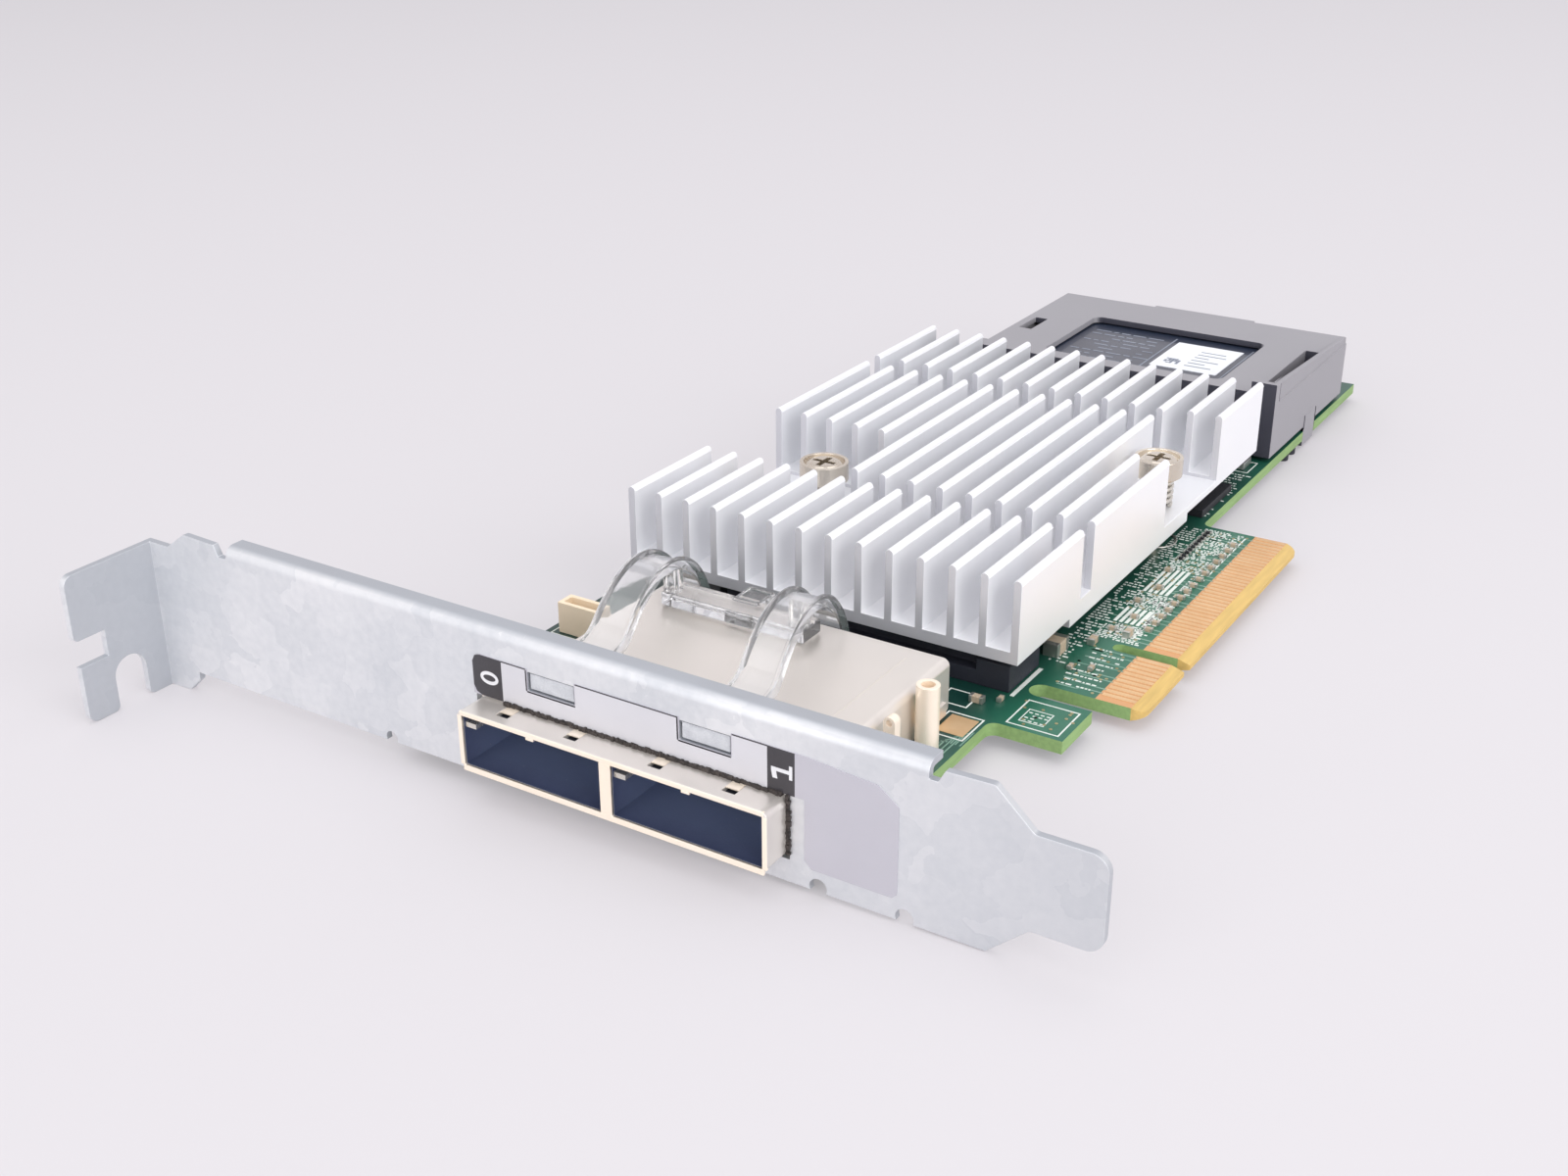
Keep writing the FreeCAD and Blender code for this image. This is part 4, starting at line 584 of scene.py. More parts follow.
class Maker:
    """Collects solid shapes in millimetres and turns them into one piece."""

    SHARP_EDGE = math.radians(35.0)
    SMOOTH_EDGE = math.radians(40.0)
    FLAT_EDGE = math.radians(0.5)
    SAME_PLACE = 0.0005

    def __init__(self, name: str, palette: Palette) -> None:
        """Start an empty mesh."""
        self.name = name
        self.palette = palette
        self.mesh = bmesh.new()

    def block(self, x: Span, y: Span, z: Span) -> "Maker":
        """Add an axis-aligned block.

        Args:
            x: its limits along X.
            y: its limits along Y.
            z: its limits along Z.

        Returns:
            The maker.
        """
        corners = [self.mesh.verts.new((x[i], y[j], z[k]))
                   for i in (0, 1) for j in (0, 1) for k in (0, 1)]
        for face in ((0, 1, 3, 2), (4, 6, 7, 5), (0, 4, 5, 1), (2, 3, 7, 6), (0, 2, 6, 4),
                     (1, 5, 7, 3)):
            self.mesh.faces.new([corners[index] for index in face])
        return self

    def prism(self, outline: list[Span], low: float, high: float,
              upright: bool = False) -> "Maker":
        """Raise an outline into a solid.

        Args:
            outline: corners in order, in X and Y, or in X and Z when upright.
            low: start of the solid along the third direction.
            high: end of the solid along the third direction.
            upright: whether the outline stands on the board.

        Returns:
            The maker.
        """
        return self.sweep([[(u, level, v) if upright else (u, v, level) for u, v in outline]
                           for level in (low, high)])

    def disc(self, centre: Span, radius: float, height: float, sides: int) -> "Maker":
        """Add a round solid that stands on the board."""
        return self.prism([(centre[0] + radius * math.cos(2 * math.pi * n / sides),
                            centre[1] + radius * math.sin(2 * math.pi * n / sides))
                           for n in range(sides)], 0.0, height)

    def ring(self, centre: Point, radius: float, wire: float, sides: int = 36,
             around: int = 10) -> "Maker":
        """Add a round-wire ring that lies flat.

        Args:
            centre: the ring's middle.
            radius: from the middle to the wire's axis.
            wire: the wire's radius.
            sides: sections along the ring.
            around: points round a section.

        Returns:
            The maker.
        """
        rows = []
        for step in range(sides):
            turn = 2 * math.pi * step / sides
            row = []
            for part in range(around):
                bend = 2 * math.pi * part / around
                reach = radius + wire * math.cos(bend)
                row.append((centre[0] + reach * math.cos(turn), centre[1] + reach * math.sin(turn),
                            centre[2] + wire * math.sin(bend)))
            rows.append(row)
        self.skin(rows, closed=True)
        return self

    def sweep(self, sections: list[list[Point]]) -> "Maker":
        """Skin a row of closed sections and cap both ends.

        Args:
            sections: points of each section, in order.

        Returns:
            The maker.
        """
        rows = self.skin(sections, closed=False)
        self.mesh.faces.new(rows[0][::-1])
        self.mesh.faces.new(rows[-1])
        return self

    def skin(self, sections: list[list[Point]], closed: bool) -> list[list[bmesh.types.BMVert]]:
        """Join neighbouring sections with faces.

        Args:
            sections: points of each section, in order.
            closed: whether the last section joins the first.

        Returns:
            The vertices of each section.
        """
        rows = [[self.mesh.verts.new(point) for point in section] for section in sections]
        pairs = zip(rows, rows[1:] + rows[:1]) if closed else zip(rows, rows[1:])
        for here, there in pairs:
            for part in range(len(here)):
                following = (part + 1) % len(here)
                self.mesh.faces.new((here[part], here[following], there[following], there[part]))
        return rows

    def take(self, node: bpy.types.Object) -> "Maker":
        """Take over a CAD node's shape, with its flat faces whole again.

        Args:
            node: the CAD node, which stays as it is.

        Returns:
            The maker.
        """
        self.mesh.from_mesh(node.data)
        bmesh.ops.scale(self.mesh, vec=Vector((1, 1, 1)) / MM, verts=self.mesh.verts)
        bmesh.ops.remove_doubles(self.mesh, verts=self.mesh.verts, dist=self.SAME_PLACE)
        bmesh.ops.dissolve_limit(self.mesh, angle_limit=self.FLAT_EDGE,
                                 verts=self.mesh.verts, edges=self.mesh.edges)
        return self

    def soften(self, width: float, segments: int = 2) -> "Maker":
        """Round every sharp edge.

        Args:
            width: how far the rounding reaches from the edge.
            segments: faces across the rounding.

        Returns:
            The maker.
        """
        bmesh.ops.recalc_face_normals(self.mesh, faces=self.mesh.faces)
        edges = [edge for edge in self.mesh.edges if len(edge.link_faces) == 2
                 and edge.calc_face_angle(0.0) > self.SHARP_EDGE]
        bmesh.ops.bevel(self.mesh, geom=edges, offset=width, offset_type="OFFSET",
                        segments=segments, profile=0.5, affect="EDGES", clamp_overlap=False)
        return self

    def finish(self, look: str, slot: str, stands_for: tuple[str, ...] = ()) -> None:
        """Turn the collected shapes into a piece that rides on the card.

        Args:
            look: the finish's name.
            slot: the record's material slot; not used.
            stands_for: CAD nodes that the piece replaces.
        """
        bmesh.ops.recalc_face_normals(self.mesh, faces=self.mesh.faces)
        bmesh.ops.scale(self.mesh, vec=Vector((MM, MM, MM)), verts=self.mesh.verts)
        for edge in self.mesh.edges:
            if len(edge.link_faces) == 2:
                edge.smooth = edge.calc_face_angle(0.0) < self.SMOOTH_EDGE
        for face in self.mesh.faces:
            face.smooth = True
        data = bpy.data.meshes.new(self.name)
        self.mesh.to_mesh(data)
        self.mesh.free()
        self._even_normals(data)
        piece = bpy.data.objects.new(self.name, data)
        bpy.context.scene.collection.objects.link(piece)
        data.materials.append(self.palette.get(look))
        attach(piece, BODY)
        if stands_for:
            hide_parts(*stands_for)
        LOG.info("piece %s: %d faces", self.name, len(data.polygons))

    def _even_normals(self, data: bpy.types.Mesh) -> None:
        """Let each corner follow the largest faces round it, so that flat faces stay flat.

        Args:
            data: the finished mesh.
        """
        limit = math.cos(self.SMOOTH_EDGE)
        around: list[list[bpy.types.MeshPolygon]] = [[] for _ in data.vertices]
        for polygon in data.polygons:
            for vertex in polygon.vertices:
                around[vertex].append(polygon)
        normals = []
        for polygon in data.polygons:
            own = polygon.normal
            for vertex in polygon.vertices:
                total = Vector()
                for other in around[vertex]:
                    if other.normal.dot(own) > limit:
                        total += other.normal * other.area
                normals.append(total.normalized() if total.length else own)
        data.normals_split_custom_set(normals)


@dataclass
class Workbench:
    """What every sub-assembly needs: the loaded frame and the finishes."""

    nodes: dict[str, bpy.types.Object]
    palette: Palette

    def maker(self, name: str) -> Maker:
        """Start a piece."""
        return Maker(name, self.palette)

    def dress(self, look: str, *names: str) -> None:
        """Give CAD nodes that keep their shape their finish.

        Args:
            look: the finish's name.
            names: the CAD nodes.
        """
        for name in names:
            materials = self.nodes[name].data.materials
            materials.clear()
            materials.append(self.palette.get(look))
            LOG.info("dressed %s in %s", name, look)

    def soften(self, *rows: tuple[str, str, str, float]) -> None:
        """Replace CAD nodes by their own shapes with rounded edges.

        Args:
            rows: node, finish, material slot and width of the rounding.
        """
        for node, look, slot, width in rows:
            maker = self.maker(node + "_body").take(self.nodes[node])
            maker.soften(width).finish(look, slot, (node,))

    def islands(self, node: str) -> list[tuple[Vector, Vector]]:
        """Find the separate solids of a CAD node.

        Args:
            node: the CAD node's name.

        Returns:
            The lower and upper corner of each, in millimetres.
        """
        mesh = bmesh.new()
        mesh.from_mesh(self.nodes[node].data)
        bmesh.ops.remove_doubles(mesh, verts=mesh.verts, dist=1e-6)
        left = set(mesh.verts)
        boxes = []
        while left:
            stack = [left.pop()]
            low = high = stack[0].co
            while stack:
                vertex = stack.pop()
                low = Vector(map(min, low, vertex.co))
                high = Vector(map(max, high, vertex.co))
                for edge in vertex.link_edges:
                    other = edge.other_vert(vertex)
                    if other in left:
                        left.remove(other)
                        stack.append(other)
            boxes.append((low / MM, high / MM))
        mesh.free()
        return sorted(boxes, key=lambda box: (round(box[0].x, 3), round(box[0].y, 3)))


# Sub-assemblies


@dataclass
class Board:
    """The printed board, its plated contacts, print, traces and vias."""

    # Printed outlines: limits along X and Y, and the line's width.
    OUTLINES = (((93.6, 99.9), (34.9, 40.9), 0.18), ((94.6, 97.6), (36.0, 39.0), 0.12),
                ((87.2, 91.6), (28.6, 34.0), 0.18), ((84.9, 88.6), (35.4, 38.8), 0.18),
                ((96.9, 98.6), (66.2, 71.4), 0.2), ((74.5, 75.65), (46.0, 47.2), 0.2),
                ((76.6, 77.75), (46.2, 47.4), 0.2), ((84.4, 91.0), (119.9, 124.5), 0.15),
                ((37.6, 45.3), (25.9, 29.9), 0.15))
    # Single bars: corner, width and length.
    BARS = ((91.35, 40.6, 0.5, 7.8), (98.75, 82.6, 0.2, 14.2))
    # Rows of bars side by side: start and length along Y, first bar along X, number of bars.
    BAR_FIELDS = ((64.6, 4.6, 93.6, 6), (74.4, 8.2, 93.4, 5), (71.2, 1.6, 95.8, 4),
                  (61.0, 2.6, 94.4, 5))
    # Rows of dashes: limits along X, first row along Y, step, number of rows, share printed.
    DASH_FIELDS = (((90.6, 93.1), 51.0, 0.72, 64, 0.7), ((88.2, 91.6), 101.4, 0.9, 20, 0.75),
                   ((94.4, 98.8), 46.4, 1.25, 9, 0.65), ((45.6, 90.0), 161.8, 0.7, 7, 0.2))
    # Vias: limits along X and Y, and how many.
    VIA_FIELDS = (((93.2, 99.0), (60.5, 97.0), 90), ((93.0, 99.6), (46.0, 58.0), 26),
                  ((93.4, 100.0), (34.8, 41.4), 14), ((38.0, 43.0), (4.0, 25.0), 24),
                  ((38.0, 43.0), (127.0, 166.0), 40), ((45.0, 90.0), (161.6, 166.6), 40))

    bench: Workbench
    print_height: float = 0.03
    trace_height: float = 0.02
    via_height: float = 0.035
    via_radius: float = 0.2
    via_grid: float = 0.5
    bar: float = 0.42
    dash: float = 0.27
    dash_gap: float = 0.2
    contact_start: float = 99.9
    track: float = 0.2
    fine_track: float = 0.16
    jog: float = 0.5
    seed: int = 11

    def build(self) -> None:
        """Dress the board and lay its print, traces and vias."""
        self.bench.dress("board", "circuit_board")
        self.bench.dress("gold", "edge_contacts_top", "edge_contacts_bottom", "ground_pads")
        self._print()
        self._traces()
        self._vias()

    def _mark(self, maker: Maker, x: float, y: float, width: float, length: float) -> None:
        """Print one small rectangle from its corner."""
        maker.block((x, x + width), (y, y + length), (0.0, self.print_height))

    def _frame(self, maker: Maker, x: Span, y: Span, line: float) -> None:
        """Print the outline of a rectangle.

        Args:
            maker: the piece to add to.
            x: the rectangle's limits along X.
            y: its limits along Y.
            line: the line's width.
        """
        z = (0.0, self.print_height)
        for edge in (y[0], y[1] - line):
            maker.block(x, (edge, edge + line), z)
        for edge in (x[0], x[1] - line):
            maker.block((edge, edge + line), (y[0] + line, y[1] - line), z)

    def _dashes(self, maker: Maker, draw: random.Random, x: Span, y: float,
                share: float) -> None:
        """Add a broken row of small printed marks.

        Args:
            maker: the piece to add to.
            draw: the source of the marks' widths and gaps.
            x: the row's limits along X.
            y: where the row starts along Y.
            share: how many of the marks are printed, from 0 to 1.
        """
        place = x[0]
        while place < x[1] - self.dash_gap:
            width = draw.choice((0.22, 0.34, 0.5, 0.7))
            if draw.random() < share:
                self._mark(maker, place, y, width, self.dash)
            place += width + self.dash_gap

    def _print(self) -> None:
        """White outlines, bars and dashes on the component face."""
        maker = self.bench.maker("board_print")
        draw = random.Random(self.seed)
        for x, y, line in self.OUTLINES:
            self._frame(maker, x, y, line)
        for x, y, width, length in self.BARS:
            self._mark(maker, x, y, width, length)
        for row in range(4):
            for column in range(4):
                if draw.random() < 0.75:
                    self._mark(maker, 94.9 + row * 0.7, 36.3 + column * 0.62, self.bar, 0.2)
        for start, length, first, lines in self.BAR_FIELDS:
            for number in range(lines):
                self._mark(maker, first + number * 0.72, start, self.bar, length)
        for number in range(88):
            y = 59.6 + number * 0.43
            barred = 64.2 < y < 69.4 or 74.0 < y < 82.8
            self._dashes(maker, draw, (97.3 if barred else 93.2, 98.6), y, 0.6 if barred else 0.8)
        for x, first, pitch, count, share in self.DASH_FIELDS:
            for number in range(count):
                self._dashes(maker, draw, x, first + number * pitch, share)
        for y in (119.6, 127.4, 131.0, 149.0, 153.0, 157.0, 163.2):
            for x in (38.3, 39.6, 41.2):
                self._mark(maker, x, y, draw.choice((0.4, 0.8)), 0.35)
        maker.finish("print", "board_laminate")

    def _traces(self) -> None:
        """Copper tracks that run from the edge contacts inwards and jog sideways."""
        maker = self.bench.maker("board_traces")
        rows = [46.6 + n for n in range(11)] + [59.6 + n for n in range(38)]
        for number, y in enumerate(rows):
            if number % 3 == 2:
                continue
            bend = 97.4 - (number % 4) * 0.5
            shift = self.jog if number % 2 else -self.jog
            end = 92.9 if y > 59 else 94.6
            self._track(maker, [(self.contact_start, y), (bend, y), (bend - self.jog, y + shift),
                                (end, y + shift)], self.track)
        for number in range(9):
            x = 86.6 + number * 0.55
            self._track(maker, [(x, 14.0), (x, 22.0 + number), (x + 0.8, 23.0 + number),
                                (x + 0.8, 27.6)], self.fine_track)
        for number in range(10):
            y = 142.0 + number * 1.1
            self._track(maker, [(37.3, y), (40.0 + number * 0.2, y), (41.2 + number * 0.2, y + 1.2),
                                (43.4, y + 1.2)], self.track)
        maker.finish("trace", "board_laminate")

    def _track(self, maker: Maker, route: list[Span], width: float) -> None:
        """Lay one flat track along a route of straight runs.

        Args:
            maker: the piece to add to.
            route: the track's corners in X and Y.
            width: the track's width.
        """
        for start, end in zip(map(Vector, route), map(Vector, route[1:])):
            along = (end - start).normalized() * (width / 2)
            side = Vector((-along.y, along.x))
            reach = along * 0.4
            maker.prism([start - reach - side, end + reach - side, end + reach + side,
                         start - reach + side], 0.0, self.trace_height)

    def _vias(self) -> None:
        """Small tinned rings scattered along the open strips of the board."""
        maker = self.bench.maker("board_vias")
        draw = random.Random(self.seed + 1)
        for x, y, count in self.VIA_FIELDS:
            for _ in range(count):
                spot = [round(draw.uniform(*span) / self.via_grid) * self.via_grid
                        for span in (x, y)]
                maker.disc(spot, self.via_radius, self.via_height, sides=10)
        maker.finish("via", "board_laminate")


@dataclass
class Bracket:
    """The folded steel bracket with its label, digits and hidden screws."""

    bench: Workbench
    field_y: Span = (-0.12, -0.1)
    digit_y: Span = (-0.14, -0.12)
    base: float = 7.02
    window_base: float = 9.2
    light_top: float = 11.6
    dark_top: float = 11.72
    line: float = 0.14

    def build(self) -> None:
        """Build the bracket and what is stuck or screwed to it."""
        self.bench.soften(("bracket", "zinc", "bracket_steel", 0.09),
                          ("bracket_screws", "screw", "screw_nickel", 0.06),
                          ("bracket_nuts", "screw", "screw_nickel", 0.06))
        self.bench.dress("label", "bracket_label")
        self._fields()
        self._outline()
        self._lenses()
        self._digits()

    def _fields(self) -> None:
        """The label's coloured fields; the one by the tab has rounded corners."""
        dark = self.bench.maker("label_dark_fields")
        dark.prism([(50.0, self.base), (52.85, self.base), (52.85, self.dark_top),
                    (50.0, self.dark_top), (49.3, 11.5), (48.96, 10.8), (48.96, 8.0), (49.3, 7.3)],
                   *self.field_y, upright=True)
        dark.block((85.3, 88.35), self.field_y, (self.base, self.dark_top))
        dark.finish("charcoal", "label_film")
        light = self.bench.maker("label_light_field")
        for x in ((52.85, 56.1), (62.4, 75.0), (81.3, 85.3)):
            light.block(x, self.field_y, (self.base, self.light_top))
        for x in ((56.1, 62.4), (75.0, 81.3)):
            light.block(x, self.field_y, (self.base, self.window_base))
        light.finish("label_light", "label_film")

    def _outline(self) -> None:
        """A thin dark line along the label's upper edge, round the light windows."""
        maker = self.bench.maker("label_outline")
        for x in ((52.85, 56.05), (62.45, 75.0), (81.3, 85.3)):
            maker.block(x, self.field_y, (self.light_top, self.light_top + self.line))
        for left in (56.15, 75.0):
            maker.block((left, left + 6.2), self.field_y,
                        (self.window_base - self.line, self.window_base))
            maker.block((left - self.line, left), self.field_y,
                        (self.window_base, self.light_top))
        maker.finish("charcoal", "label_film")

    def _lenses(self) -> None:
        """The frosted ends of the light pipe seen in the bracket's two windows."""
        maker = self.bench.maker("window_lenses")
        for left in (56.2, 75.1):
            maker.block((left + 0.2, left + 5.85), (0.15, 0.95), (9.4, 11.2))
        maker.soften(0.12).finish("frosted", "clear_plastic")

    def _digits(self) -> None:
        """The port digits 0 and 1, which lie on their side with the top towards the tab."""
        maker = self.bench.maker("port_digits")
        low, high = self.digit_y
        x, z, steps = 51.15, 9.3, 40
        rows = []
        for step in range(steps):
            turn = 2 * math.pi * step / steps
            rows.append([(x + wide * math.cos(turn), y, z + tall * math.sin(turn))
                         for wide, tall, y in ((0.82, 0.36, high), (1.2, 0.76, high),
                                               (1.2, 0.76, low), (0.82, 0.36, low))])
        maker.skin(rows, closed=True)
        stem, half, serif = 9.45, 0.2, 0.75
        maker.prism([(85.75, stem - half), (85.9, stem - 1.0), (86.45, stem - 1.0),
                     (86.3, stem - half), (87.75, stem - half), (87.75, stem - serif),
                     (88.1, stem - serif), (88.1, stem + serif), (87.75, stem + serif),
                     (87.75, stem + half), (85.75, stem + half)], low, high, upright=True)
        maker.finish("digit", "label_film")


@dataclass
class PortCage:
    """The nickel cage with its dark bays, springs, posts and gasket."""

    bench: Workbench
    left: float = 49.35
    wall: float = 0.6
    floor: float = 0.3
    bay: float = 17.75
    divider: float = 1.4
    height: float = 6.75
    front: float = -3.55
    lining: float = 0.05
    finger_places: Span = (3.65, 12.4)
    finger_width: float = 1.5
    strand: float = 0.27
    strand_step: float = 0.29
    strand_end: Span = (86.9, 6.8)
    strand_seed: int = 5

    def build(self) -> None:
        """Build the cage and everything in and beside it."""
        self.bench.soften(("port_cage", "nickel", "cage_nickel", 0.12),
                          ("cage_springs", "spring", "spring_nickel", 0.05),
                          ("guide_posts", "rim", "cage_nickel", 0.08))
        self.bench.dress("liner", "port_insert_0", "port_insert_1")
        self.bench.dress("gold", "port_contacts")
        first = self.left + self.wall
        second = first + self.bay + self.divider
        bays = ((first, first + self.bay), (second, second + self.bay))
        right = second + self.bay + self.wall
        self._liners(bays)
        self._rim(bays, right)
        self._gasket(right)
        self._fingers(bays)
        self._seam(right)

    def _liners(self, bays: tuple[Span, Span]) -> None:
        """Thin dark liners on the walls of both bays.

        Args:
            bays: the two bays' limits along the bracket.
        """
        maker = self.bench.maker("bay_liners")
        low, high = self.floor, self.height - self.wall
        y = (self.front + 0.35, 8.6)
        for x in bays:
            for z in (low, high - self.lining):
                maker.block(x, y, (z, z + self.lining))
            for side in (x[0], x[1] - self.lining):
                maker.block((side, side + self.lining), y,
                            (low + self.lining, high - self.lining))
        # The liner finish carries painted fill light, brighter away from the mouths.
        maker.finish("liner", "black_plastic")

    def _rim(self, bays: tuple[Span, Span], right: float) -> None:
        """The bright rim round the mouths, with a key bump in each bay.

        Args:
            bays: the two bays' limits along the bracket.
            right: the cage's side away from the tab.
        """
        maker = self.bench.maker("cage_rim")
        y = (self.front - 0.04, self.front + 0.3)
        low, high = self.floor, self.height - self.wall
        inset = 0.06
        for z in ((-0.35, low), (high, self.height - inset)):
            maker.block((self.left + 0.4, right - 0.4), y, z)
        for x in ((self.left + inset, bays[0][0]), (bays[0][1], bays[1][0]),
                  (bays[1][1], right - inset)):
            maker.block(x, y, (low, high))
        for x in bays:
            start = x[0] + 0.48 * self.bay
            maker.block((start, start + 1.0), y, (high - 0.3, high))
        maker.soften(0.05, 1).finish("rim", "cage_nickel")

    def _gasket(self, right: float) -> None:
        """The dark woven gasket where the cage passes the bracket.

        Args:
            right: the cage's side away from the tab.
        """
        maker = self.bench.maker("cage_gasket")
        draw = random.Random(self.strand_seed)
        x = self.left + 3.7
        while x < self.strand_end[0]:
            rise = draw.uniform(0.3, 0.48)
            reach = draw.uniform(0.2, 0.4)
            maker.block((x, x + self.strand), (-0.1 - reach, 0.7),
                        (self.height - 0.02, self.height + rise))
            x += self.strand_step
        z = 0.4
        while z < self.strand_end[1]:
            out = draw.uniform(0.25, 0.5)
            reach = draw.uniform(0.1, 0.3)
            maker.block((right - 0.02, right + out), (-0.1 - reach, 0.7), (z, z + self.strand))
            z += self.strand_step
        maker.finish("gasket", "black_plastic")

    def _fingers(self, bays: tuple[Span, Span]) -> None:
        """What the four windows in the cage's top show: painted shade in the gap and a bright
        finger.

        Args:
            bays: the two bays' limits along the bracket.
        """
        dark, bright = self.bench.maker("finger_gap_shade"), self.bench.maker("finger_tips")
        end = self.front + 3.3
        for bay in bays:
            for inset in self.finger_places:
                x = (bay[0] + inset, bay[0] + inset + self.finger_width)
                # A black block just under each window: painted shade where the bay shows through.
                dark.block(x, (self.front + 1.25, end), (self.height - 0.55, self.height - 0.5))
                bright.block(x, (self.front + 2.0, end), (self.height - 0.14, self.height - 0.02))
        dark.finish("black", "black_plastic")
        bright.finish("rim", "cage_nickel")

    def _seam(self, right: float) -> None:
        """The folded seam along the cage's top and its rear latch.

        Args:
            right: the cage's side away from the tab.
        """
        maker = self.bench.maker("cage_seam")
        under = self.height - 0.02
        maker.block((right - 4.4, right - 4.25), (4.0, 31.0), (under, self.height + 0.06))
        maker.block((right - 0.02, right + 0.3), (28.4, 32.2), (0.4, 2.0))
        maker.block((self.left + 6.0, right - 8.0), (2.6, 2.75), (under, self.height + 0.05))
        maker.soften(0.02, 1).finish("nickel", "cage_nickel")


@dataclass
class LightPipe:
    """The clear light pipe and the lamps that feed it."""

    bench: Workbench
    windows: Span = (56.2, 75.1)
    width: float = 5.2
    taper: float = 1.0
    thick: float = 1.5
    rim: float = 0.55
    soft: float = 0.16
    arch_centre: float = 21.5
    arch_radius: float = 15.8
    arch_top: float = 15.0
    run_height: float = 10.35
    run_start: float = 0.35
    run_length: float = 10.3
    run_end: float = 11.0
    foot: float = 1.35
    bar_floor: float = 6.9
    near_lean: float = 1.6
    far_lean: float = 6.2
    far_run: float = 26.8
    taper_end: float = 37.0
    channel: Span = (12.0, 33.0)
    channel_depth: float = 0.5
    groove_depth: float = 0.12

    def build(self) -> None:
        """Build both arms, the bar between them and the lamps."""
        arms = self.bench.maker("light_pipe_arms")
        for window in self.windows:
            arms.sweep(self._sections(window))
        arms.finish("clear", "clear_plastic", ("light_pipe",))
        self._bar()
        self.bench.soften(("status_lamps", "lens", "lamp_white", 0.1))

    def _path(self) -> list[Span]:
        """The side view of an arm's middle line, from its window to its foot.

        Returns:
            Its points in Y and Z.
        """
        radius = self.arch_radius - self.thick / 2
        middle = self.arch_top - self.arch_radius
        start = math.acos((self.run_height - middle) / radius)
        end = math.pi / 2 - math.asin((middle - self.foot) / radius)
        points = [(self.run_start + self.run_length * step / 10, self.run_height)
                  for step in range(10)]
        steps = 44
        for step in range(steps + 1):
            angle = -start + (end + start) * step / steps
            points.append((self.arch_centre + radius * math.sin(angle),
                           middle + radius * math.cos(angle)))
        points = [point for point in points if point[1] >= self.foot]
        for _ in range(4):
            inner = [((a[0] + 2 * b[0] + c[0]) / 4, (a[1] + 2 * b[1] + c[1]) / 4)
                     for a, b, c in zip(points, points[1:], points[2:])]
            points = [points[0], *inner, points[-1]]
        return points

    def _middle(self, window: float, y: float) -> float:
        """Where an arm's middle is along the bracket.

        Args:
            window: where the arm's window starts along the bracket.
            y: the distance from the bracket.

        Returns:
            The place along X.
        """
        start = window + 3.3
        if y < self.run_end:
            return start - self.near_lean * y / self.run_end
        return start - self.near_lean - self.far_lean * (y - self.run_end) / self.far_run

    def _sections(self, window: float) -> list[list[Point]]:
        """Cross-sections of one arm: a shallow channel with two rims.

        Args:
            window: where the arm's window starts along the bracket.

        Returns:
            The points of each section.
        """
        path = self._path()
        rim, soft, top = self.rim, self.soft, self.thick / 2
        sections = []
        for index, (y, z) in enumerate(path):
            before = Vector(path[max(index - 1, 0)])
            along = (Vector(path[min(index + 1, len(path) - 1)]) - before).normalized()
            middle = self._middle(window, y)
            half = (self.width - self.taper * min(y / self.taper_end, 1.0)) / 2
            deep = self.channel[0] < y < self.channel[1]
            sink = self.channel_depth if deep else self.groove_depth
            shape = [(-half, -top + soft), (-half, top - soft), (-half + soft, top),
                     (-half + rim - soft, top), (-half + rim, top - soft),
                     (-half + rim + 0.1, top - sink), (half - rim - 0.1, top - sink),
                     (half - rim, top - soft), (half - rim + soft, top), (half - soft, top),
                     (half, top - soft), (half, -top + soft), (half - soft, -top),
                     (-half + soft, -top)]
            sections.append([(middle + across, y - along.y * rise, z + along.x * rise)
                             for across, rise in shape])
        return sections

    def _bar(self) -> None:
        """The bar across the cage with its end posts and rear hook."""
        maker = self.bench.maker("light_pipe_bar")
        floor = self.bar_floor
        start = self.arch_centre + 6.0
        ends = (self.windows[0] - 3.2, self.windows[1] - 2.8)
        maker.block(ends, (start, start + 3.8), (floor, floor + 1.7))
        for x in (ends[0] + 0.2, ends[1] - 2.0):
            maker.block((x, x + 1.8), (start + 0.2, start + 2.0), (floor + 1.4, floor + 5.0))
        maker.block((60.5, 64.0), (start + 3.4, start + 7.4), (floor, floor + 1.4))
        maker.soften(0.28, 3).finish("clear", "clear_plastic")


@dataclass
class HeatSink:
    """The finned heat sink with its sprung screws and what lies under it."""

    bench: Workbench
    ring_radius: float = 2.9
    ring_wire: float = 0.12

    def build(self) -> None:
        """Build the sink, its fixings and the chips below."""
        self.bench.soften(("heat_sink", "aluminium", "sink_aluminium", 0.1),
                          ("heat_sink_screws", "screw", "screw_nickel", 0.1),
                          ("heat_sink_nuts", "screw", "screw_nickel", 0.1),
                          ("controller_chip", "chip", "chip_black", 0.1),
                          ("memory_chips", "chip", "chip_black", 0.08),
                          ("memory_socket", "black", "black_plastic", 0.12))
        self.bench.dress("spring", "heat_sink_springs")
        self.bench.dress("pad", "thermal_pad")
        pads = self.bench.maker("screw_pads")
        for x, y in ((88.6, 90.2), (52.1, 65.4)):
            pads.ring((x, y, self.ring_wire), self.ring_radius, self.ring_wire)
        pads.finish("tin", "contact_gold")


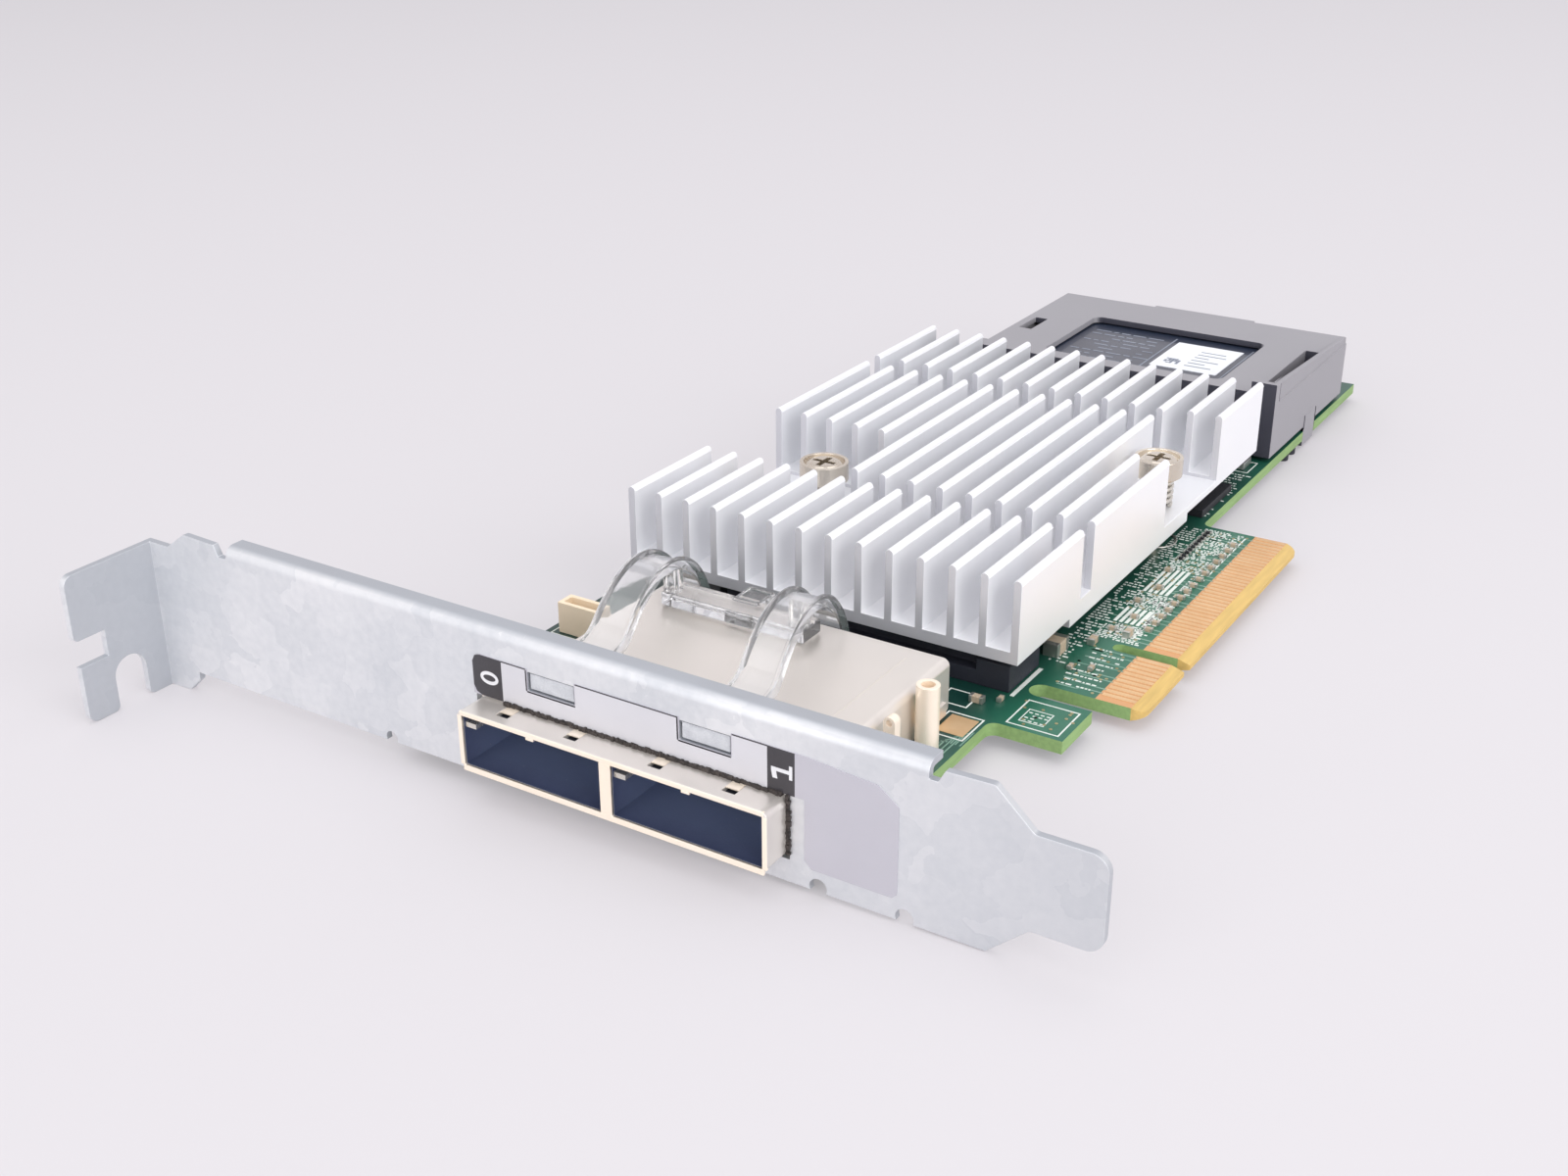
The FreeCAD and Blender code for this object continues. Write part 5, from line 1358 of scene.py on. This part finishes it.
@dataclass
class BatteryBay:
    """The clip-on cover, the pack under its window and its label."""

    bench: Workbench
    film_z: Span = (8.78, 8.83)
    label_z: Span = (8.88, 8.93)
    seed: int = 8

    def build(self) -> None:
        """Build the cover and its contents."""
        self.bench.soften(("battery_cover", "cover", "cover_plastic", 0.15),
                          ("battery_pack", "film", "pack_navy", 0.1))
        self.bench.dress("paper", "battery_label")
        self._marks()
        self.bench.soften(("battery_socket", "black", "black_plastic", 0.1),
                          ("board_stubs", "black", "black_plastic", 0.1))

    def _marks(self) -> None:
        """Pale bars and two lines on the pack's film, and bars and a code on its label."""
        draw = random.Random(self.seed)
        pale = self.bench.maker("film_marks")
        for row in range(9):
            y = 132.6 + row * 1.75
            x = 55.2
            while x < 66.5:
                run = draw.uniform(0.8, 2.6)
                if draw.random() < 0.72:
                    pale.block((x, x + run), (y, y + 0.34), self.film_z)
                x += run + 0.5
        for x in (68.2, 80.9):
            pale.block((x, x + 0.25), (131.4, 148.6), self.film_z)
        pale.finish("faint", "pack_navy")
        bars = self.bench.maker("label_bars")
        for row in range(6):
            y = 136.2 + row * 1.5
            bars.block((74.2, 74.2 + draw.uniform(2.2, 4.6)), (y, y + 0.28), self.label_z)
        for row in range(5):
            for column in range(5):
                if draw.random() < 0.6:
                    x, y = 70.6 + row * 0.5, 136.2 + column * 0.5
                    bars.block((x, x + 0.42), (y, y + 0.42), self.label_z)
        bars.finish("faint", "label_white")


@dataclass
class SmallParts:
    """Chip capacitors, resistors, inductors and small packages, each with its ends or leads."""

    bench: Workbench
    cap: float = 0.24
    inset: float = 0.03
    lead: float = 0.14
    lead_half: float = 0.2
    lead_reach: float = 0.7

    def build(self) -> None:
        """Build every small part from the place of its CAD solid."""
        self._ended("ceramic_capacitors", "ceramic", "capacitor_ceramic")
        self._ended("chip_resistors", "chip", "chip_black")
        self.bench.soften(("power_inductors", "ferrite", "inductor_grey", 0.25),
                          ("clock_crystal", "can", "crystal_steel", 0.2))
        self._leaded("flash_chip", 4, 1.27)
        self._leaded("voltage_regulators", 4, 1.0)
        self.bench.soften(("board_header", "cream", "cream_plastic", 0.1))
        self.bench.dress("spring", "header_pins")

    def _ended(self, node: str, look: str, slot: str) -> None:
        """Two-ended parts: a body between two tinned ends.

        Args:
            node: the CAD node to replace.
            look: the body's finish.
            slot: the body's material slot.
        """
        bodies, ends = self.bench.maker(node + "_bodies"), self.bench.maker(node + "_ends")
        for low, high in self.bench.islands(node):
            long_axis = 0 if high.x - low.x > high.y - low.y else 1
            reach = (high[long_axis] - low[long_axis]) * self.cap
            inner_low, inner_high = Vector(low), Vector(high)
            inner_low[long_axis] += reach * 0.8
            inner_high[long_axis] -= reach * 0.8
            inner_low[1 - long_axis] += self.inset
            inner_high[1 - long_axis] -= self.inset
            inner_high.z -= self.inset
            bodies.block(*zip(inner_low, inner_high))
            first_high, last_low = Vector(high), Vector(low)
            first_high[long_axis] = low[long_axis] + reach
            last_low[long_axis] = high[long_axis] - reach
            ends.block(*zip(low, first_high)).block(*zip(last_low, high))
        bodies.soften(0.04, 1).finish(look, slot, (node,))
        ends.soften(0.07).finish("tin", "crystal_steel")

    def _leaded(self, node: str, count: int, pitch: float) -> None:
        """Moulded packages with a row of leads on two sides.

        Args:
            node: the CAD node to replace.
            count: leads on a side.
            pitch: distance from a lead to the next.
        """
        bodies, leads = self.bench.maker(node + "_bodies"), self.bench.maker(node + "_leads")
        for low, high in self.bench.islands(node):
            bodies.block((low.x + self.lead_reach, high.x - self.lead_reach), (low.y, high.y),
                         (low.z + 0.1, high.z))
            middle = (low.y + high.y) / 2
            knee = low.z + (high.z - low.z) * 0.5
            for number in range(count):
                y = middle + (number - (count - 1) / 2) * pitch
                for inner, outer in ((low.x + 0.8, low.x), (high.x - 0.8, high.x)):
                    bend = inner + (outer - inner) * 0.45
                    back = bend + (outer - inner) * 0.14
                    leads.prism([(inner, knee), (bend, knee), (bend, 0.0), (outer, 0.0),
                                 (outer, self.lead), (back, self.lead), (back, knee + self.lead),
                                 (inner, knee + self.lead)],
                                y - self.lead_half, y + self.lead_half, upright=True)
        bodies.soften(0.1, 1).finish("chip", "chip_black", (node,))
        leads.finish("tin", "crystal_steel")


# Stage


@dataclass
class Studio:
    """Pale sweep, soft lamps and the camera."""

    floor_height: float = -5.8
    floor_rise_x: float = 0.02622
    floor_rise_y: float = 0.00353
    floor_size: float = 3000.0
    floor_glow: float = 0.35
    floor_shade: float = 0.77
    backdrop: Colour = linear((233, 229, 233))
    camera_place: Point = (0.16701133, -0.12629830, 0.09850025)
    camera_turn: Point = (64.88282998, 0.19012813, 32.20615297)
    lens: float = 42.25
    sensor: float = 36.0
    nearest: float = 0.005

    def build(self) -> None:
        """Set up the stage."""
        self._floor()
        self._world()
        self._lamps()
        self._camera()

    @staticmethod
    def _place(name: str, data: bpy.types.ID) -> bpy.types.Object:
        """Put a floor, lamp or camera into the scene.

        Args:
            name: the object's name.
            data: its mesh, light or camera.

        Returns:
            The object.
        """
        thing = bpy.data.objects.new(name, data)
        bpy.context.scene.collection.objects.link(thing)
        return thing

    def _floor(self) -> None:
        """A floor through the three points the card stands on."""
        half = self.floor_size
        data = bpy.data.meshes.new("floor")
        corners = [(x, y, self.floor_height + self.floor_rise_x * x + self.floor_rise_y * y)
                   for x, y in ((-half, -half), (half, -half), (half, half), (-half, half))]
        data.from_pydata([tuple(value * MM for value in corner) for corner in corners], [],
                         [(0, 1, 2, 3)])
        floor = self._place("floor", data)
        material, graph = Graph.material("floor_sweep")
        matt = graph.feed(graph.add("ShaderNodeBsdfDiffuse"),
                          Color=dim(self.backdrop, self.floor_shade))
        glow = graph.feed(graph.add("ShaderNodeEmission"), Color=self.backdrop, Strength=1.0)
        share = graph.math("MULTIPLY", graph.direct(), self.floor_glow)
        graph.close(graph.blend(share, matt, glow))
        data.materials.append(material)

    def _world(self) -> None:
        """Even pale surroundings; the light they give is weaker than what is seen."""
        world = bpy.data.worlds.new("studio")
        world.use_nodes = True
        bpy.context.scene.world = world
        graph = Graph(world.node_tree)
        light, seen = (graph.feed(graph.add("ShaderNodeBackground"), Color=colour, Strength=power)
                       for colour, power in (((0.97, 0.97, 1.0), 0.85), (self.backdrop, 1.0)))
        graph.close(graph.blend(graph.direct(), light, seen), "ShaderNodeOutputWorld")

    def _lamps(self) -> None:
        """A wide lamp overhead and weaker ones from the side and the front."""
        for name, place, aim, size, power in (
                ("overhead", (0.05, 0.1, 0.9), (0.07, 0.08, 0.0), 1.1, 3.0),
                ("side", (0.78, -0.2, 0.35), (0.07, 0.05, 0.0), 0.6, 3.9),
                ("front", (0.05, -0.8, 0.3), (0.07, 0.05, 0.0), 0.7, 2.5)):
            data = bpy.data.lights.new(name, "AREA")
            data.shape = "SQUARE"
            data.size = size
            data.energy = power
            lamp = self._place(name, data)
            lamp.location = place
            way = Vector(aim) - Vector(place)
            lamp.rotation_euler = way.to_track_quat("-Z", "Y").to_euler()

    def _camera(self) -> None:
        """The camera at the photograph's angle."""
        data = bpy.data.cameras.new("photo_camera")
        data.sensor_width = self.sensor
        data.lens = self.lens
        data.clip_start = self.nearest
        camera = self._place("photo_camera", data)
        camera.location = self.camera_place
        camera.rotation_euler = tuple(math.radians(value) for value in self.camera_turn)
        bpy.context.scene.camera = camera
        bpy.context.scene.view_settings.view_transform = "Standard"


def main() -> None:
    """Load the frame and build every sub-assembly round it."""
    logging.basicConfig(level=logging.INFO, format="%(message)s")
    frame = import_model()
    bench = Workbench(frame["nodes"], Palette())
    Studio().build()
    for assembly in (Board, Bracket, PortCage, LightPipe, HeatSink, BatteryBay, SmallParts):
        assembly(bench).build()
        LOG.info("built %s", assembly.__name__)


if __name__ == "__main__":
    main()
